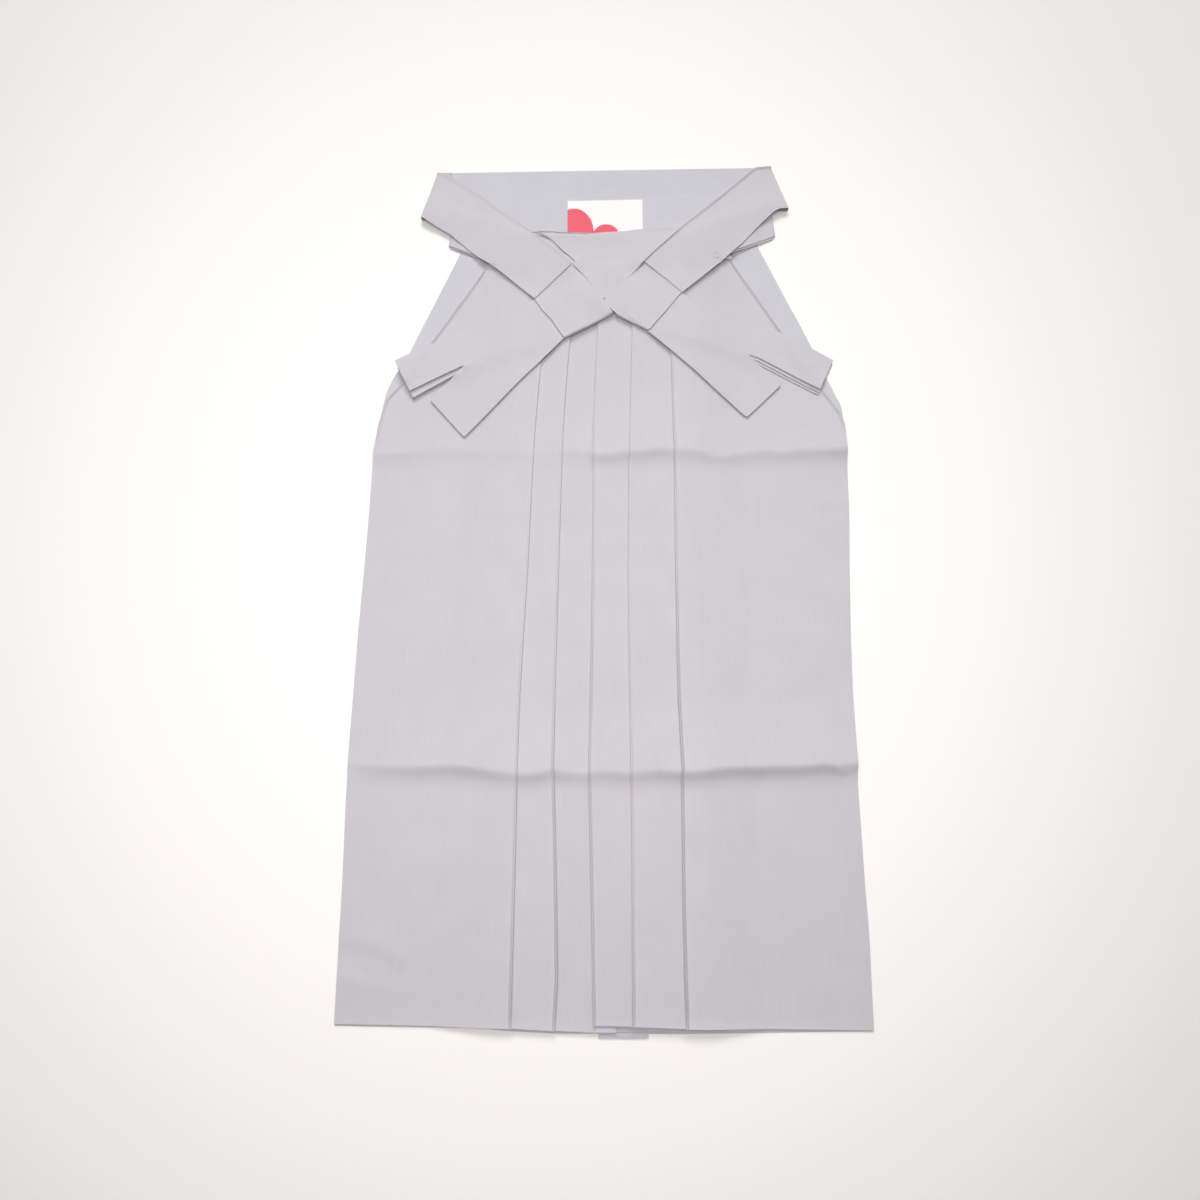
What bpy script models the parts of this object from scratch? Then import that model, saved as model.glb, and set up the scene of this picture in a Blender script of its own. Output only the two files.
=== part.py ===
"""Hakama trousers laid flat, front up: the front ties are folded across, the back ties wound over them.

Lengths below are in millimetres and are turned into metres when a mesh is made. The working frame has x = 0
on the centre line, y = 0 at the front hem, y up towards the waist and z up from the surface that the garment
lies on. main() moves the whole garment at the end, so that the origin is under the middle of its box.

Every piece is a cloth wall: a net of points in the middle of the cloth, and a Solidify modifier that gives it
its thickness. A piece that lies on others is laid on a Heap, which knows how high the cloth already stands.
"""

import math

import bmesh
import bpy
import numpy as np

MM = 0.001

# Cloth
WALL = 1.0  # one panel
TIE_WALL = 1.2  # a tie is a flat tube of the same cloth
FOLDS_WALL = 2.2  # the hidden turns of a front tie, as one thickness
GAP = 0.3  # between pieces that touch
PITCH = WALL + GAP  # from one folded layer of a panel to the next
FOLD_STEPS = 4  # facets round a fold

# Heights of the middle of the wall
BACK_Z = WALL / 2
OUTER_Z = BACK_Z + PITCH  # a front panel where it lies on the back alone
GUSSET_Z = BACK_Z + PITCH
PLEAT_Z = GUSSET_Z + 2 * PITCH  # the lowest layer of the pleats

# Pleats
PLEAT_COLUMNS = ("y", "left_outer", "left_inner", "centre", "right_inner", "right_outer")
PLEATS = (
    (-1, -107, -57, -12, 33, 94),
    (55, -106, -54, -13, 33, 93),
    (120, -105, -55, -14, 33, 92),
    (200, -104, -57, -16, 33, 92),
    (300, -103, -60, -18, 32, 92),
    (390, -101, -59, -16, 31, 89),
    (525, -94, -56, -14, 30, 88),
    (660, -89, -53, -13, 31, 88),
    (720, -86, -51, -13, 33, 87),
    (800, -80, -46, -10, 35, 86),
    (860, -76, -41, -7, 37, 84),
    (983, -67, -32, -2, 41, 80),
)
RETURN_AT_HEM = 26  # how far a pleat's cloth runs back under it
RETURN_AT_WAIST = 19
SETTLE = 4  # the layer on top stays level this far past the return
RAMP = 62  # and then sinks to the back panel over this length

# Outlines, from the hem to the waist
SIDE_COLUMNS = ("y", "left", "right")
FRONT_SIDES = (
    (0, -310, 309.5),
    (109, -308, 308.5),
    (160, -307, 306),
    (258, -306.5, 303),
    (296, -306, 302),
    (376, -303, 301),
    (452, -300, 301),
    (543, -295, 303),
    (604, -292, 305),
    (689, -289, 305),
    (724, -283, 302.5),
    (737, -280, 298),
    (754, -275, 287),
    (778, -254, 269.5),
    (828, -222, 239),
    (890, -181, 198),
    (940, -148, 165),
    (981, -120, 138),
)
BACK_SIDES = (
    (0, -310, 309.5),
    (160, -307, 306),
    (296, -306, 302),
    (452, -300, 301),
    (604, -292, 305),
    (689, -289, 305),
    (724, -284, 303.5),
    (748, -279.5, 301),
    (763, -277, 294),
    (785, -268, 284),
    (813, -251, 272),
    (851, -234, 255),
    (892, -215, 235),
    (956, -186, 205),
    (1030, -152, 170),
)
# Edges that run across, from left to right
EDGE_COLUMNS = ("x", "y")
LEFT_HEM = ((-310, 5), (-107, 1), (-57, -2), (-12, -4))
RIGHT_HEM = ((-12, 4), (33, 3), (94, 1), (309.5, -2))
FRONT_WAIST = ((-120, 981), (-5, 980), (60, 984), (138, 988))
BACK_HEM_DROP = -5  # of the back hem at its right end

# Soft ridges left by folding the garment in three
RIDGES = (300, 692)
RIDGE_HEIGHT = 3.0
RIDGE_ABOVE = 45  # its run on the waist side
RIDGE_BELOW = 30  # and on the hem side
RIDGE_STEPS = (-1, -0.6, -0.25, 0, 0.3, 1)  # rows round a crest, as shares of its runs

# Waist pieces
BACK_BAND_TOP = ((-217, 1070), (219, 1078))
BACK_BAND_WIDTH = 64
BACK_BAND_OVERLAP = 22  # of the panel over the band
FRONT_BAND_WIDTH = 44
LABEL_SIZE = (98, 56)
LABEL_TOP = (2, 1030)

# Gusset: a folded strip between the legs, seen where it hangs below the front hem
GUSSET_LEFT, GUSSET_LOWER_RIGHT, GUSSET_UPPER_RIGHT = -6, 51, 74
GUSSET_LOWER_HEM, GUSSET_UPPER_HEM, GUSSET_TOP = -11, -4, 420

# Ties: each row crosses the tie, as (upper x, upper y, lower x, lower y); the upper edge is nearer the waist
BACK_LEFT_RUN = ((-217, 1070, -236, 1006), (-161, 1037, -203, 982), (-92, 979, -137, 930),
                 (-41, 936, -88, 887))
BACK_RIGHT_RUN = ((219, 1078, 239, 1014), (197, 1075, 226, 1002), (157, 1039, 200, 980), (105, 990, 155, 944),
                  (51, 938, 100, 894))
BACK_LEFT_LEG = ((-219, 754, -175, 705), (-155, 820, -112, 770), (-92, 885, -50, 835), (-73, 904, -31, 854))
BACK_RIGHT_LEG = ((225, 775, 180, 731), (164, 833, 120, 786), (103, 892, 56, 843), (84, 911, 37, 862))
LEFT_SQUARE = ((-55, 947, -102, 899), (-41, 934, -88, 886), (-24, 918, -79, 872), (-11, 900, -66, 858),
               (1, 884, -57, 844), (12, 867, -50, 834))
RIGHT_SQUARE = ((65, 949, 113, 907), (51, 936, 99, 894), (28, 913, 79, 869), (9, 894, 66, 854),
                (-1, 883, 60, 846), (15.5, 865.3, 56, 843.5))
BACK_RIGHT_HEAD = ((4, 977, -78, 977), (-14, 949, -50, 949), (-31, 930, -40, 939))
BACK_LEFT_HEAD = ((-5, 979, 95.6, 979), (-24, 957, 72.7, 957), (-39.3, 935.5, 53, 938),
                  (-22.5, 918.5, 30, 913), (-14, 906, 18.8, 905), (-7.5, 897, 10.6, 897),
                  (-0.7, 888, 2.3, 888))
HEAD_CLEAR = 903  # below this y the left head lies beside the right square, and above it over that square
# A front tie's hidden turns stick out past its top one by "folds" on the hem side.
FRONT_LEFT_TIE = ((-194, 1008, -200, 965, 2), (-90, 969, -100, 926, 1), (22, 914, 4, 875, 0),
                  (76, 888, 56, 849, 0), (133, 874, 120, 832, 0), (212, 852, 195, 812, 7),
                  (292, 808, 273, 768, 4))
FRONT_RIGHT_TIE = ((218, 1021, 222, 979, 3), (160, 1000, 172, 959, 2), (99, 970, 120, 931, 1),
                   (-1, 913, 20, 875, 0), (-66, 879, -48, 839, 0), (-122, 860, -110, 818, 0),
                   (-196, 838, -176, 799, 4), (-264, 804, -244, 764, 8))
# The stretch of a front tie from the end of its waistband to its first fold, under the rest
FRONT_LEFT_START = ((-127, 980, -152, 940), (-158, 993, -170, 951), (-194, 1008, -200, 965))
FRONT_RIGHT_START = ((145, 990, 168, 951), (180, 1005, 190, 963), (218, 1021, 222, 979))
TIE_FOLD_SHARE = 1.5  # a tie's hidden turns start this far inside its first fold

SQUARE_TUCK = 16  # the end of each square that is turned under the front ties
TURN_BULGE = 2.5
BAND_TURN = 18  # of a back tie, under its own fold at the end of the waistband

# Draping
CELL = 3  # of the height map
SLOPE = 0.42  # the steepest that a tie comes down
REACH = 40
STEP_ALONG = 14  # the length of a tie's facets
STEPS_ACROSS = 5
HEAD_STEPS = 8

CLOTH = (0.62, 0.59, 0.63, 1.0)
CLOTH_INSIDE = (0.60, 0.575, 0.62, 1.0)
LABEL_WHITE = (0.93, 0.91, 0.90, 1.0)


def column(table, name, columns, at):
    """The named column of a table, read at one value of its first column."""
    index = columns.index(name)
    return float(np.interp(at, [row[0] for row in table], [row[index] for row in table]))


def smooth(share):
    share = min(1.0, max(0.0, share))
    return share * share * (3 - 2 * share)


def ridge(y):
    """The height of the storage folds at y: a long slope on the waist side, a steep one towards the hem."""
    height = 0.0
    for crest in RIDGES:
        if 0 <= y - crest < RIDGE_ABOVE:
            height += RIDGE_HEIGHT * (1 - (y - crest) / RIDGE_ABOVE) ** 1.5
        elif 0 < crest - y < RIDGE_BELOW:
            height += RIDGE_HEIGHT * (1 - smooth(((crest - y) / RIDGE_BELOW) ** 0.75))
    return height


def clear_scene():
    for obj in list(bpy.data.objects):
        bpy.data.objects.remove(obj, do_unlink=True)


def material(name, colour, roughness):
    made = bpy.data.materials.get(name) or bpy.data.materials.new(name)
    made.use_nodes = True
    shader = made.node_tree.nodes["Principled BSDF"]
    shader.inputs["Base Color"].default_value = colour
    shader.inputs["Roughness"].default_value = roughness
    shader.inputs["Metallic"].default_value = 0.0
    made.diffuse_color = colour
    return made


def cloth_wall(name, rows, wall, finish):
    """One closed cloth piece from rows of points in the middle of its wall."""
    net = bmesh.new()
    grid = [[net.verts.new((x * MM, y * MM, z * MM)) for x, y, z in row] for row in rows]
    for near, far in zip(grid, grid[1:]):
        for i in range(len(near) - 1):
            net.faces.new((near[i], near[i + 1], far[i + 1], far[i]))
    bmesh.ops.recalc_face_normals(net, faces=net.faces)
    mesh = bpy.data.meshes.new(name)
    net.to_mesh(mesh)
    net.free()
    mesh.materials.append(finish)
    piece = bpy.data.objects.new(name, mesh)
    bpy.context.collection.objects.link(piece)
    thicken = piece.modifiers.new("Wall", "SOLIDIFY")
    thicken.thickness = wall * MM
    thicken.offset = 0.0
    thicken.use_even_offset = True
    return piece


class Heap:
    """How high the cloth stands over each small square of the surface."""

    X0, Y0, COLUMNS, ROWS = -330, -40, 221, 385

    def __init__(self):
        self.top = np.zeros((self.ROWS, self.COLUMNS))

    def add(self, rows, wall):
        """Raises the heap by a wall whose middle runs through these rows of points."""
        net = np.array(rows, float)
        for near, far in zip(net, net[1:]):
            for a, b, c, d in zip(near, near[1:], far, far[1:]):
                count = 2 + int(max(np.ptp((a, b, c, d), axis=0)[:2]) / (0.6 * CELL))
                s, t = np.meshgrid(np.linspace(0, 1, count), np.linspace(0, 1, count))
                s, t = s.reshape(-1, 1), t.reshape(-1, 1)
                points = (1 - s) * (1 - t) * a + s * (1 - t) * b + (1 - s) * t * c + s * t * d
                i = np.rint((points[:, 1] - self.Y0) / CELL).astype(int)
                j = np.rint((points[:, 0] - self.X0) / CELL).astype(int)
                np.maximum.at(self.top, (i, j), points[:, 2] + wall / 2)

    def copy(self):
        same = Heap()
        same.top = self.top.copy()
        return same

    def draped(self, level):
        """The heap as cloth laid on it would bridge it: level near what holds it up, then down the slope."""
        cells = int(REACH / CELL)
        over = self.top.copy()
        for di in range(-cells, cells + 1):
            for dj in range(-cells, cells + 1):
                distance = CELL * math.hypot(di, dj)
                if 0 < distance <= REACH:
                    fall = SLOPE * max(0.0, distance - level)
                    moved = np.roll(self.top, (di, dj), axis=(0, 1)) - fall
                    np.maximum(over, moved, out=over)
        return over

    def lay(self, flat_rows, wall, level=STEP_ALONG):
        """Gives rows of (x, y) the height at which they lie on the heap, and adds them to it."""
        over = self.draped(level)
        rows = []
        for flat_row in flat_rows:
            row = []
            for x, y in flat_row:
                i = (y - self.Y0) / CELL
                j = (x - self.X0) / CELL
                near = over[int(i):int(i) + 2, int(j):int(j) + 2]
                row.append((x, y, float(near.max()) + GAP + wall / 2))
            rows.append(row)
        self.add(rows, wall)
        return rows


def across(start, end, steps):
    """Points from one (x, y) to another."""
    return [
        (start[0] + (end[0] - start[0]) * i / steps, start[1] + (end[1] - start[1]) * i / steps)
        for i in range(steps + 1)
    ]


def tie_rows(table, shifted=False, steps=STEPS_ACROSS):
    """A tie's table as rows of (x, y), evenly spaced; shifted moves each towards the hem by its "folds"."""
    rows = []
    for near, far in zip(table, table[1:]):
        length = math.dist((near[0] + near[2], near[1] + near[3]), (far[0] + far[2], far[1] + far[3])) / 2
        count = max(1, round(length / STEP_ALONG))
        for i in range(count):
            rows.append([a + (b - a) * i / count for a, b in zip(near, far)])
    rows.append(list(table[-1]))
    laid = []
    for ux, uy, lx, ly, *folds in rows:
        width = math.dist((ux, uy), (lx, ly))
        shift = folds[0] if shifted else 0
        mx, my = (lx - ux) * shift / width, (ly - uy) * shift / width
        laid.append(across((ux + mx, uy + my), (lx + mx, ly + my), steps))
    return laid


def turn(low_row, high_row, out, bulge=TURN_BULGE):
    """Rows round the fold that joins a low row to a high row over it; out is the way that the fold points."""
    rows = []
    for k in range(1, FOLD_STEPS):
        angle = math.pi * (k / FOLD_STEPS - 0.5)
        row = []
        for (lx, ly, lz), (hx, hy, hz) in zip(low_row, high_row):
            share = (1 + math.sin(angle)) / 2
            reach = bulge * math.cos(angle)
            row.append((lx + (hx - lx) * share + out[0] * reach, ly + (hy - ly) * share + out[1] * reach,
                        lz + (hz - lz) * share))
        rows.append(row)
    return rows


def outward(start, end, inside):
    """The unit normal of the line from start to end that points away from a point inside."""
    nx, ny = end[1] - start[1], start[0] - end[0]
    length = math.hypot(nx, ny)
    nx, ny = nx / length, ny / length
    if (inside[0] - start[0]) * nx + (inside[1] - start[1]) * ny > 0:
        nx, ny = -nx, -ny
    return nx, ny


def fold_points(x, z_from, z_to, side):
    """Points round a pleat's fold at x, from one layer's height to the next; side is +1 for a right edge."""
    radius = abs(z_to - z_from) / 2
    points = []
    for k in range(FOLD_STEPS + 1):
        angle = math.pi * k / FOLD_STEPS
        z = (z_from + z_to) / 2 + (z_from - z_to) / 2 * math.cos(angle)
        points.append((x - side * radius + side * radius * math.sin(angle), z))
    return points


def layer(level):
    return PLEAT_Z + level * PITCH


def back_at(y):
    """How far a pleat's cloth runs back under it at y."""
    return RETURN_AT_HEM + (RETURN_AT_WAIST - RETURN_AT_HEM) * y / FRONT_WAIST[1][1]


def pleat(name, y):
    return column(PLEATS, name, PLEAT_COLUMNS, y)


def left_section(y):
    """The left front panel at y, from the side seam to the centre seam, as (x, z)."""
    outer, inner, centre = pleat("left_outer", y), pleat("left_inner", y), pleat("centre", y)
    back = back_at(y)
    side = column(FRONT_SIDES, "left", SIDE_COLUMNS, y)
    high = outer - back - SETTLE
    low = max(high - RAMP, side + 2)
    sunk = OUTER_Z + (layer(4) - OUTER_Z) * (1 - (high - low) / RAMP)
    section = [(side, sunk), ((side + low) / 2, sunk), (low, sunk), ((low + high) / 2, (sunk + layer(4)) / 2),
               (high, layer(4))]
    section += fold_points(outer, layer(4), layer(3), 1)
    section += fold_points(outer - back, layer(3), layer(2), -1)
    section += fold_points(inner, layer(2), layer(1), 1)
    section += fold_points(inner - back, layer(1), layer(0), -1)
    section += [(centre, layer(0)), (centre + back, layer(0))]
    return section


def right_section(y):
    """The right front panel at y, from the centre seam to the side seam, as (x, z)."""
    centre, inner, outer = pleat("centre", y), pleat("right_inner", y), pleat("right_outer", y)
    back = back_at(y)
    side = column(FRONT_SIDES, "right", SIDE_COLUMNS, y)
    high = outer + back + SETTLE
    low = min(high + RAMP, side - 2)
    sunk = OUTER_Z + (layer(6) - OUTER_Z) * (1 - (low - high) / RAMP)
    section = [(centre + back, layer(1))]
    section += fold_points(centre, layer(1), layer(2), -1)
    section += fold_points(inner + back, layer(2), layer(3), 1)
    section += fold_points(inner, layer(3), layer(4), -1)
    section += fold_points(outer + back, layer(4), layer(5), 1)
    section += fold_points(outer, layer(5), layer(6), -1)
    section += [(high, layer(6)), ((low + high) / 2, (sunk + layer(6)) / 2), (low, sunk),
                ((side + low) / 2, sunk), (side, sunk)]
    return section


def front_stations():
    """Where the rows of a front panel run: at each row of its tables, and round each ridge."""
    ridges = [crest + share * (RIDGE_ABOVE if share > 0 else RIDGE_BELOW)
              for crest in RIDGES for share in RIDGE_STEPS]
    others = {row[0] for row in FRONT_SIDES + PLEATS[1:-1]}
    clear = [y for y in others if min(abs(y - near) for near in ridges) > 12]
    return sorted(ridges + clear)


def front_rows(section_at, hem):
    """The rows of a front panel, from the hem to the waist, on the ridges."""
    stations = front_stations()
    rows = []
    for y in stations:
        row = []
        for x, z in section_at(y):
            place = y
            if y == stations[0]:
                place = column(hem, "y", EDGE_COLUMNS, x)
            elif y == stations[-1]:
                place = column(FRONT_WAIST, "y", EDGE_COLUMNS, x)
            row.append((x, place, z + ridge(y)))
        rows.append(row)
    return rows


def back_band_line(x):
    (x0, y0), (x1, y1) = BACK_BAND_TOP
    return y0 + (y1 - y0) * (x - x0) / (x1 - x0)


def build_back(heap, inside, white):
    ends = []
    for table, side in ((BACK_LEFT_RUN, 1), (BACK_RIGHT_RUN, -1)):
        upper_x, _, lower_x, _ = table[0]
        ends.append((upper_x + side * (BAND_TURN + GAP), lower_x + side * (BAND_TURN + GAP)))
    band = []
    for share in (0, 0.5, 1):
        row = []
        for i in range(9):
            left = ends[0][0] + (ends[0][1] - ends[0][0]) * share
            right = ends[1][0] + (ends[1][1] - ends[1][0]) * share
            x = left + (right - left) * i / 8
            row.append((x, back_band_line(x) - BACK_BAND_WIDTH * share, BACK_Z))
        band.append(row)
    cloth_wall("back_waistband", band, WALL, inside)
    heap.add(band, WALL)

    crossing = back_band_line(0) - BACK_BAND_WIDTH
    stations = [row[0] for row in BACK_SIDES[:-1]] + [crossing - 12, crossing - 3, crossing + 3]
    top_y = crossing + BACK_BAND_OVERLAP
    rows = []
    for y in stations + [top_y]:
        left = column(BACK_SIDES, "left", SIDE_COLUMNS, y)
        right = column(BACK_SIDES, "right", SIDE_COLUMNS, y)
        over_band = PITCH * smooth((y - crossing + 12) / 9)
        row = []
        for i in range(7):
            x = left + (right - left) * i / 6
            place = y if y else np.interp(x, (left, right), (0, BACK_HEM_DROP))
            if y >= crossing - 12:
                place += back_band_line(x) - back_band_line(0)
            row.append((x, float(place), BACK_Z + over_band))
        rows.append(row)
    cloth_wall("back_panel", rows, WALL, inside)
    heap.add(rows, WALL)

    middle, top = LABEL_TOP
    width, height = LABEL_SIZE
    flat = []
    for i in range(7):
        y = top - height * i / 6
        flat.append([(middle + width * (j / 4 - 0.5), y + 0.02 * width * (j / 4 - 0.5)) for j in range(5)])
    cloth_wall("label", heap.lay(flat, WALL, level=10), WALL, white)


def build_gusset(heap, cloth):
    rows = []
    for y in (0, 140, 280, GUSSET_TOP):
        lower = [(GUSSET_LOWER_RIGHT, GUSSET_Z), ((GUSSET_LEFT + GUSSET_LOWER_RIGHT) / 2, GUSSET_Z)]
        section = lower + fold_points(GUSSET_LEFT, GUSSET_Z, GUSSET_Z + PITCH, -1)
        section += [((GUSSET_LEFT + GUSSET_UPPER_RIGHT) / 2, GUSSET_Z + PITCH),
                    (GUSSET_UPPER_RIGHT, GUSSET_Z + PITCH)]
        row = []
        for i, (x, z) in enumerate(section):
            hem = GUSSET_LOWER_HEM if i < 5 else GUSSET_UPPER_HEM
            row.append((x, y or hem, z))
        rows.append(row)
    cloth_wall("gusset", rows, WALL, cloth)
    heap.add(rows, WALL)


def build_front(heap, cloth):
    panels = (("front_left", left_section, LEFT_HEM), ("front_right", right_section, RIGHT_HEM))
    for name, section, hem in panels:
        rows = front_rows(section, hem)
        cloth_wall(name, rows, WALL, cloth)
        heap.add(rows, WALL)

    flat = []
    for i in range(5):
        row = []
        for j in range(25):
            down = FRONT_BAND_WIDTH * i / 4
            left = column(FRONT_SIDES, "left", SIDE_COLUMNS, FRONT_WAIST[0][1] - down)
            right = column(FRONT_SIDES, "right", SIDE_COLUMNS, FRONT_WAIST[0][1] - down)
            x = left + (right - left) * j / 24
            row.append((x, column(FRONT_WAIST, "y", EDGE_COLUMNS, x) + WALL + GAP - down))
        flat.append(row)
    over = heap.lay(flat, WALL, level=12)
    under = [(x, y, PLEAT_Z) for x, y, _ in over[0]]
    rows = [under] + turn(under, over[0], (0, 1), TURN_BULGE / 2) + over
    cloth_wall("front_waistband", rows, WALL, cloth)
    heap.add(rows, WALL)


def tucked(table, heap):
    """The end of a square that is turned under the front ties, laid before them: from inside to its fold."""
    upper_x, upper_y, lower_x, lower_y = table[-1]
    out = outward((upper_x, upper_y), (lower_x, lower_y), (table[0][0], table[0][1]))
    start = (upper_x - out[0] * SQUARE_TUCK, upper_y - out[1] * SQUARE_TUCK)
    end = (lower_x - out[0] * SQUARE_TUCK, lower_y - out[1] * SQUARE_TUCK)
    flat = [across(start, end, STEPS_ACROSS), across((upper_x, upper_y), (lower_x, lower_y), STEPS_ACROSS)]
    return heap.lay(flat, TIE_WALL), out


def build_front_ties(heap, cloth):
    ties = (
        ("front_tie_right", FRONT_RIGHT_START, FRONT_RIGHT_TIE, 1),
        ("front_tie_left", FRONT_LEFT_START, FRONT_LEFT_TIE, -1),
    )
    for name, start, table, side in ties:
        under = heap.lay(tie_rows(start), TIE_WALL)
        inner = [[(x, y) for x, y in row] for row in tie_rows(table, shifted=True)]
        inner[0] = [(x - side * TIE_FOLD_SHARE, y) for x, y in inner[0]]
        cloth_wall(name + "_folds", heap.lay(inner, FOLDS_WALL), FOLDS_WALL, cloth)
        top = heap.lay(tie_rows(table), TIE_WALL)
        cloth_wall(name + "_top", under + turn(under[-1], top[0], (side, 0)) + top, TIE_WALL, cloth)


def build_back_ties(heap, tucks, cloth):
    """The back ties are woven: leg under square, square under run, run under head, head beside square."""
    below = heap.copy()
    for name, table in (("back_tie_left_leg", BACK_LEFT_LEG), ("back_tie_right_leg", BACK_RIGHT_LEG)):
        cloth_wall(name, heap.lay(tie_rows(table), TIE_WALL), TIE_WALL, cloth)

    squares = {}
    for name, table in (("back_tie_right_square", RIGHT_SQUARE), ("back_tie_left_square", LEFT_SQUARE)):
        under, out = tucks[name]
        over = heap.lay(list(reversed(tie_rows(table))), TIE_WALL)
        squares[name] = under + turn(under[-1], over[0], out) + over
        cloth_wall(name, squares[name], TIE_WALL, cloth)

    runs = (("back_tie_right_run", BACK_RIGHT_RUN, 1), ("back_tie_left_run", BACK_LEFT_RUN, -1))
    for name, table, side in runs:
        over = heap.lay(tie_rows(table), TIE_WALL)
        below.add(over, TIE_WALL)
        low_z = TIE_WALL / 2 + 0.02
        fold = [(x, y, low_z) for x, y, _ in over[0]]
        seam = [(x - side * BAND_TURN, y, low_z) for x, y, _ in over[0]]
        rows = [seam, fold] + turn(fold, over[0], (side, 0)) + over
        cloth_wall(name, rows, TIE_WALL, cloth)

    head = below.lay(tie_rows(BACK_RIGHT_HEAD), TIE_WALL)
    cloth_wall("back_tie_right_head", head, TIE_WALL, cloth)
    beside = below.copy().lay(tie_rows(BACK_LEFT_HEAD, steps=HEAD_STEPS), TIE_WALL)
    below.add(squares["back_tie_right_square"], TIE_WALL)
    over = below.lay(tie_rows(BACK_LEFT_HEAD, steps=HEAD_STEPS), TIE_WALL)
    head = [high if high[0][1] > HEAD_CLEAR else low for low, high in zip(beside, over)]
    cloth_wall("back_tie_left_head", head, TIE_WALL, cloth)


def centre_on_origin():
    """Moves every mesh so that the origin is at the middle of the garment's box, on the surface below it."""
    bpy.context.view_layer.update()
    graph = bpy.context.evaluated_depsgraph_get()
    corners = []
    for piece in bpy.data.objects:
        shape = piece.evaluated_get(graph)
        corners += [tuple(vertex.co) for vertex in shape.data.vertices]
    low, high = np.min(corners, axis=0), np.max(corners, axis=0)
    for piece in bpy.data.objects:
        for vertex in piece.data.vertices:
            vertex.co.x -= (low[0] + high[0]) / 2
            vertex.co.y -= (low[1] + high[1]) / 2


def main():
    clear_scene()
    cloth = material("cloth", CLOTH, 0.75)
    inside = material("cloth_inside", CLOTH_INSIDE, 0.75)
    white = material("label_white", LABEL_WHITE, 0.5)
    heap = Heap()
    build_back(heap, inside, white)
    build_gusset(heap, cloth)
    build_front(heap, cloth)
    tucks = {
        "back_tie_left_square": tucked(LEFT_SQUARE, heap),
        "back_tie_right_square": tucked(RIGHT_SQUARE, heap),
    }
    build_front_ties(heap, cloth)
    build_back_ties(heap, tucks, cloth)
    centre_on_origin()


main()
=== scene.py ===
"""Looks for a pair of hakama trousers laid flat: thin cloth on each solid, the label, and a plain stage.

Lengths in the tables are in millimetres, with x = 0 on the front's centre line and y from the front hem up
to the waist. SHIFT takes that to the part's own frame. Left and right are as seen with the hem nearest.
"""

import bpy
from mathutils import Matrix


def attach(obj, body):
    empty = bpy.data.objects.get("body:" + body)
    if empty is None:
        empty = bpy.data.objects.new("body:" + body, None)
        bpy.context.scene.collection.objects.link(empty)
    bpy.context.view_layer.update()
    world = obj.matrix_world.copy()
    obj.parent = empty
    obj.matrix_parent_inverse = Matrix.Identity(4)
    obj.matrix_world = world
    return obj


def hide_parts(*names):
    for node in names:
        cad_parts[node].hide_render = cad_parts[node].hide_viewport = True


bl_info = {
    "name": "Hakama trousers",
    "version": (1, 0, 0),
    "blender": (4, 5, 0),
    "location": "View3D > Sidebar > Hakama",
    "description": "Dresses the laid-out hakama in cloth, with its label, seams and stage",
    "category": "Object",
}

import math

import bmesh
import bpy
import numpy as np
from mathutils import Vector
from mathutils.bvhtree import BVHTree

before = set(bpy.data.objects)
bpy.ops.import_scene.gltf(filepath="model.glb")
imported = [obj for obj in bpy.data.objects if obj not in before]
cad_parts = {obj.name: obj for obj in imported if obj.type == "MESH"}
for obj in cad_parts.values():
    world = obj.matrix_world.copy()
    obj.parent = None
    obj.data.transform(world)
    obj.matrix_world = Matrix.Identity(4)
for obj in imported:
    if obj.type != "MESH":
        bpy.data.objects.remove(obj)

MM = 0.001
SHIFT = (0.25, -533.84)

# Walls of the pieces whose thickness isn't a setting
BACK_WALL, LABEL_WALL, PLY = 1.0, 0.5, 0.55

# Heights of the middle of a wall: the back, what lies on it and the lowest pleat layer, and layer to layer
BACK_Z, OUTER_Z, PLEAT_Z = 0.5, 1.8, 4.4
PITCH = 1.3
FOLD_RADIUS = PITCH / 2
LAYER_MARGIN = 0.3

# The pleats' folded edges
PLEAT_COLUMNS = ("y", "left_outer", "left_inner", "centre", "right_inner", "right_outer")
PLEATS = (
    (-1, -107, -57, -12, 33, 94),
    (55, -106, -54, -13, 33, 93),
    (120, -105, -55, -14, 33, 92),
    (200, -104, -57, -16, 33, 92),
    (300, -103, -60, -18, 32, 92),
    (390, -101, -59, -16, 31, 89),
    (525, -94, -56, -14, 30, 88),
    (660, -89, -53, -13, 31, 88),
    (720, -86, -51, -13, 33, 87),
    (800, -80, -46, -10, 35, 86),
    (860, -76, -41, -7, 37, 84),
    (983, -67, -32, -2, 41, 80),
)
# How far a pleat's cloth runs back under its edge
RETURN_AT_HEM, RETURN_AT_WAIST, RETURN_LENGTH = 26, 19, 980
# Past the outer pleats the cloth stays level for a little, then slopes down to the back
SETTLE, RAMP, SIDE_MARGIN = 4, 62, 2

# How far each pleat's folded edge stands up from the layer below it, and the edges of the side openings
LIFT_COLUMNS = ("y", "left_outer", "left_inner", "centre", "right_inner", "right_outer", "side")
LIFTS = (
    (0, 2.2, 2.5, 2.4, 2.4, 3.4, 0),
    (22, 4.2, 4.8, 3.6, 3.8, 5.6, 0),
    (60, 3.4, 4.2, 3.2, 3.0, 5.2, 0),
    (140, 2.3, 3.7, 2.8, 1.8, 4.2, 0),
    (370, 1.7, 1.9, 2.5, 1.4, 3.8, 0),
    (540, 1.0, 1.6, 1.6, 0.3, 1.9, 0),
    (690, 0.4, 0.6, 1.0, 0.4, 1.6, 0.7),
    (720, 0.3, 0.5, 0.8, 0.4, 1.6, 2.8),
    (980, 0.2, 0.3, 0.4, 0.3, 0.5, 2.8),
)
LIFT_SPREAD, SIDE_SPREAD = 1.8, 2.2

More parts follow.
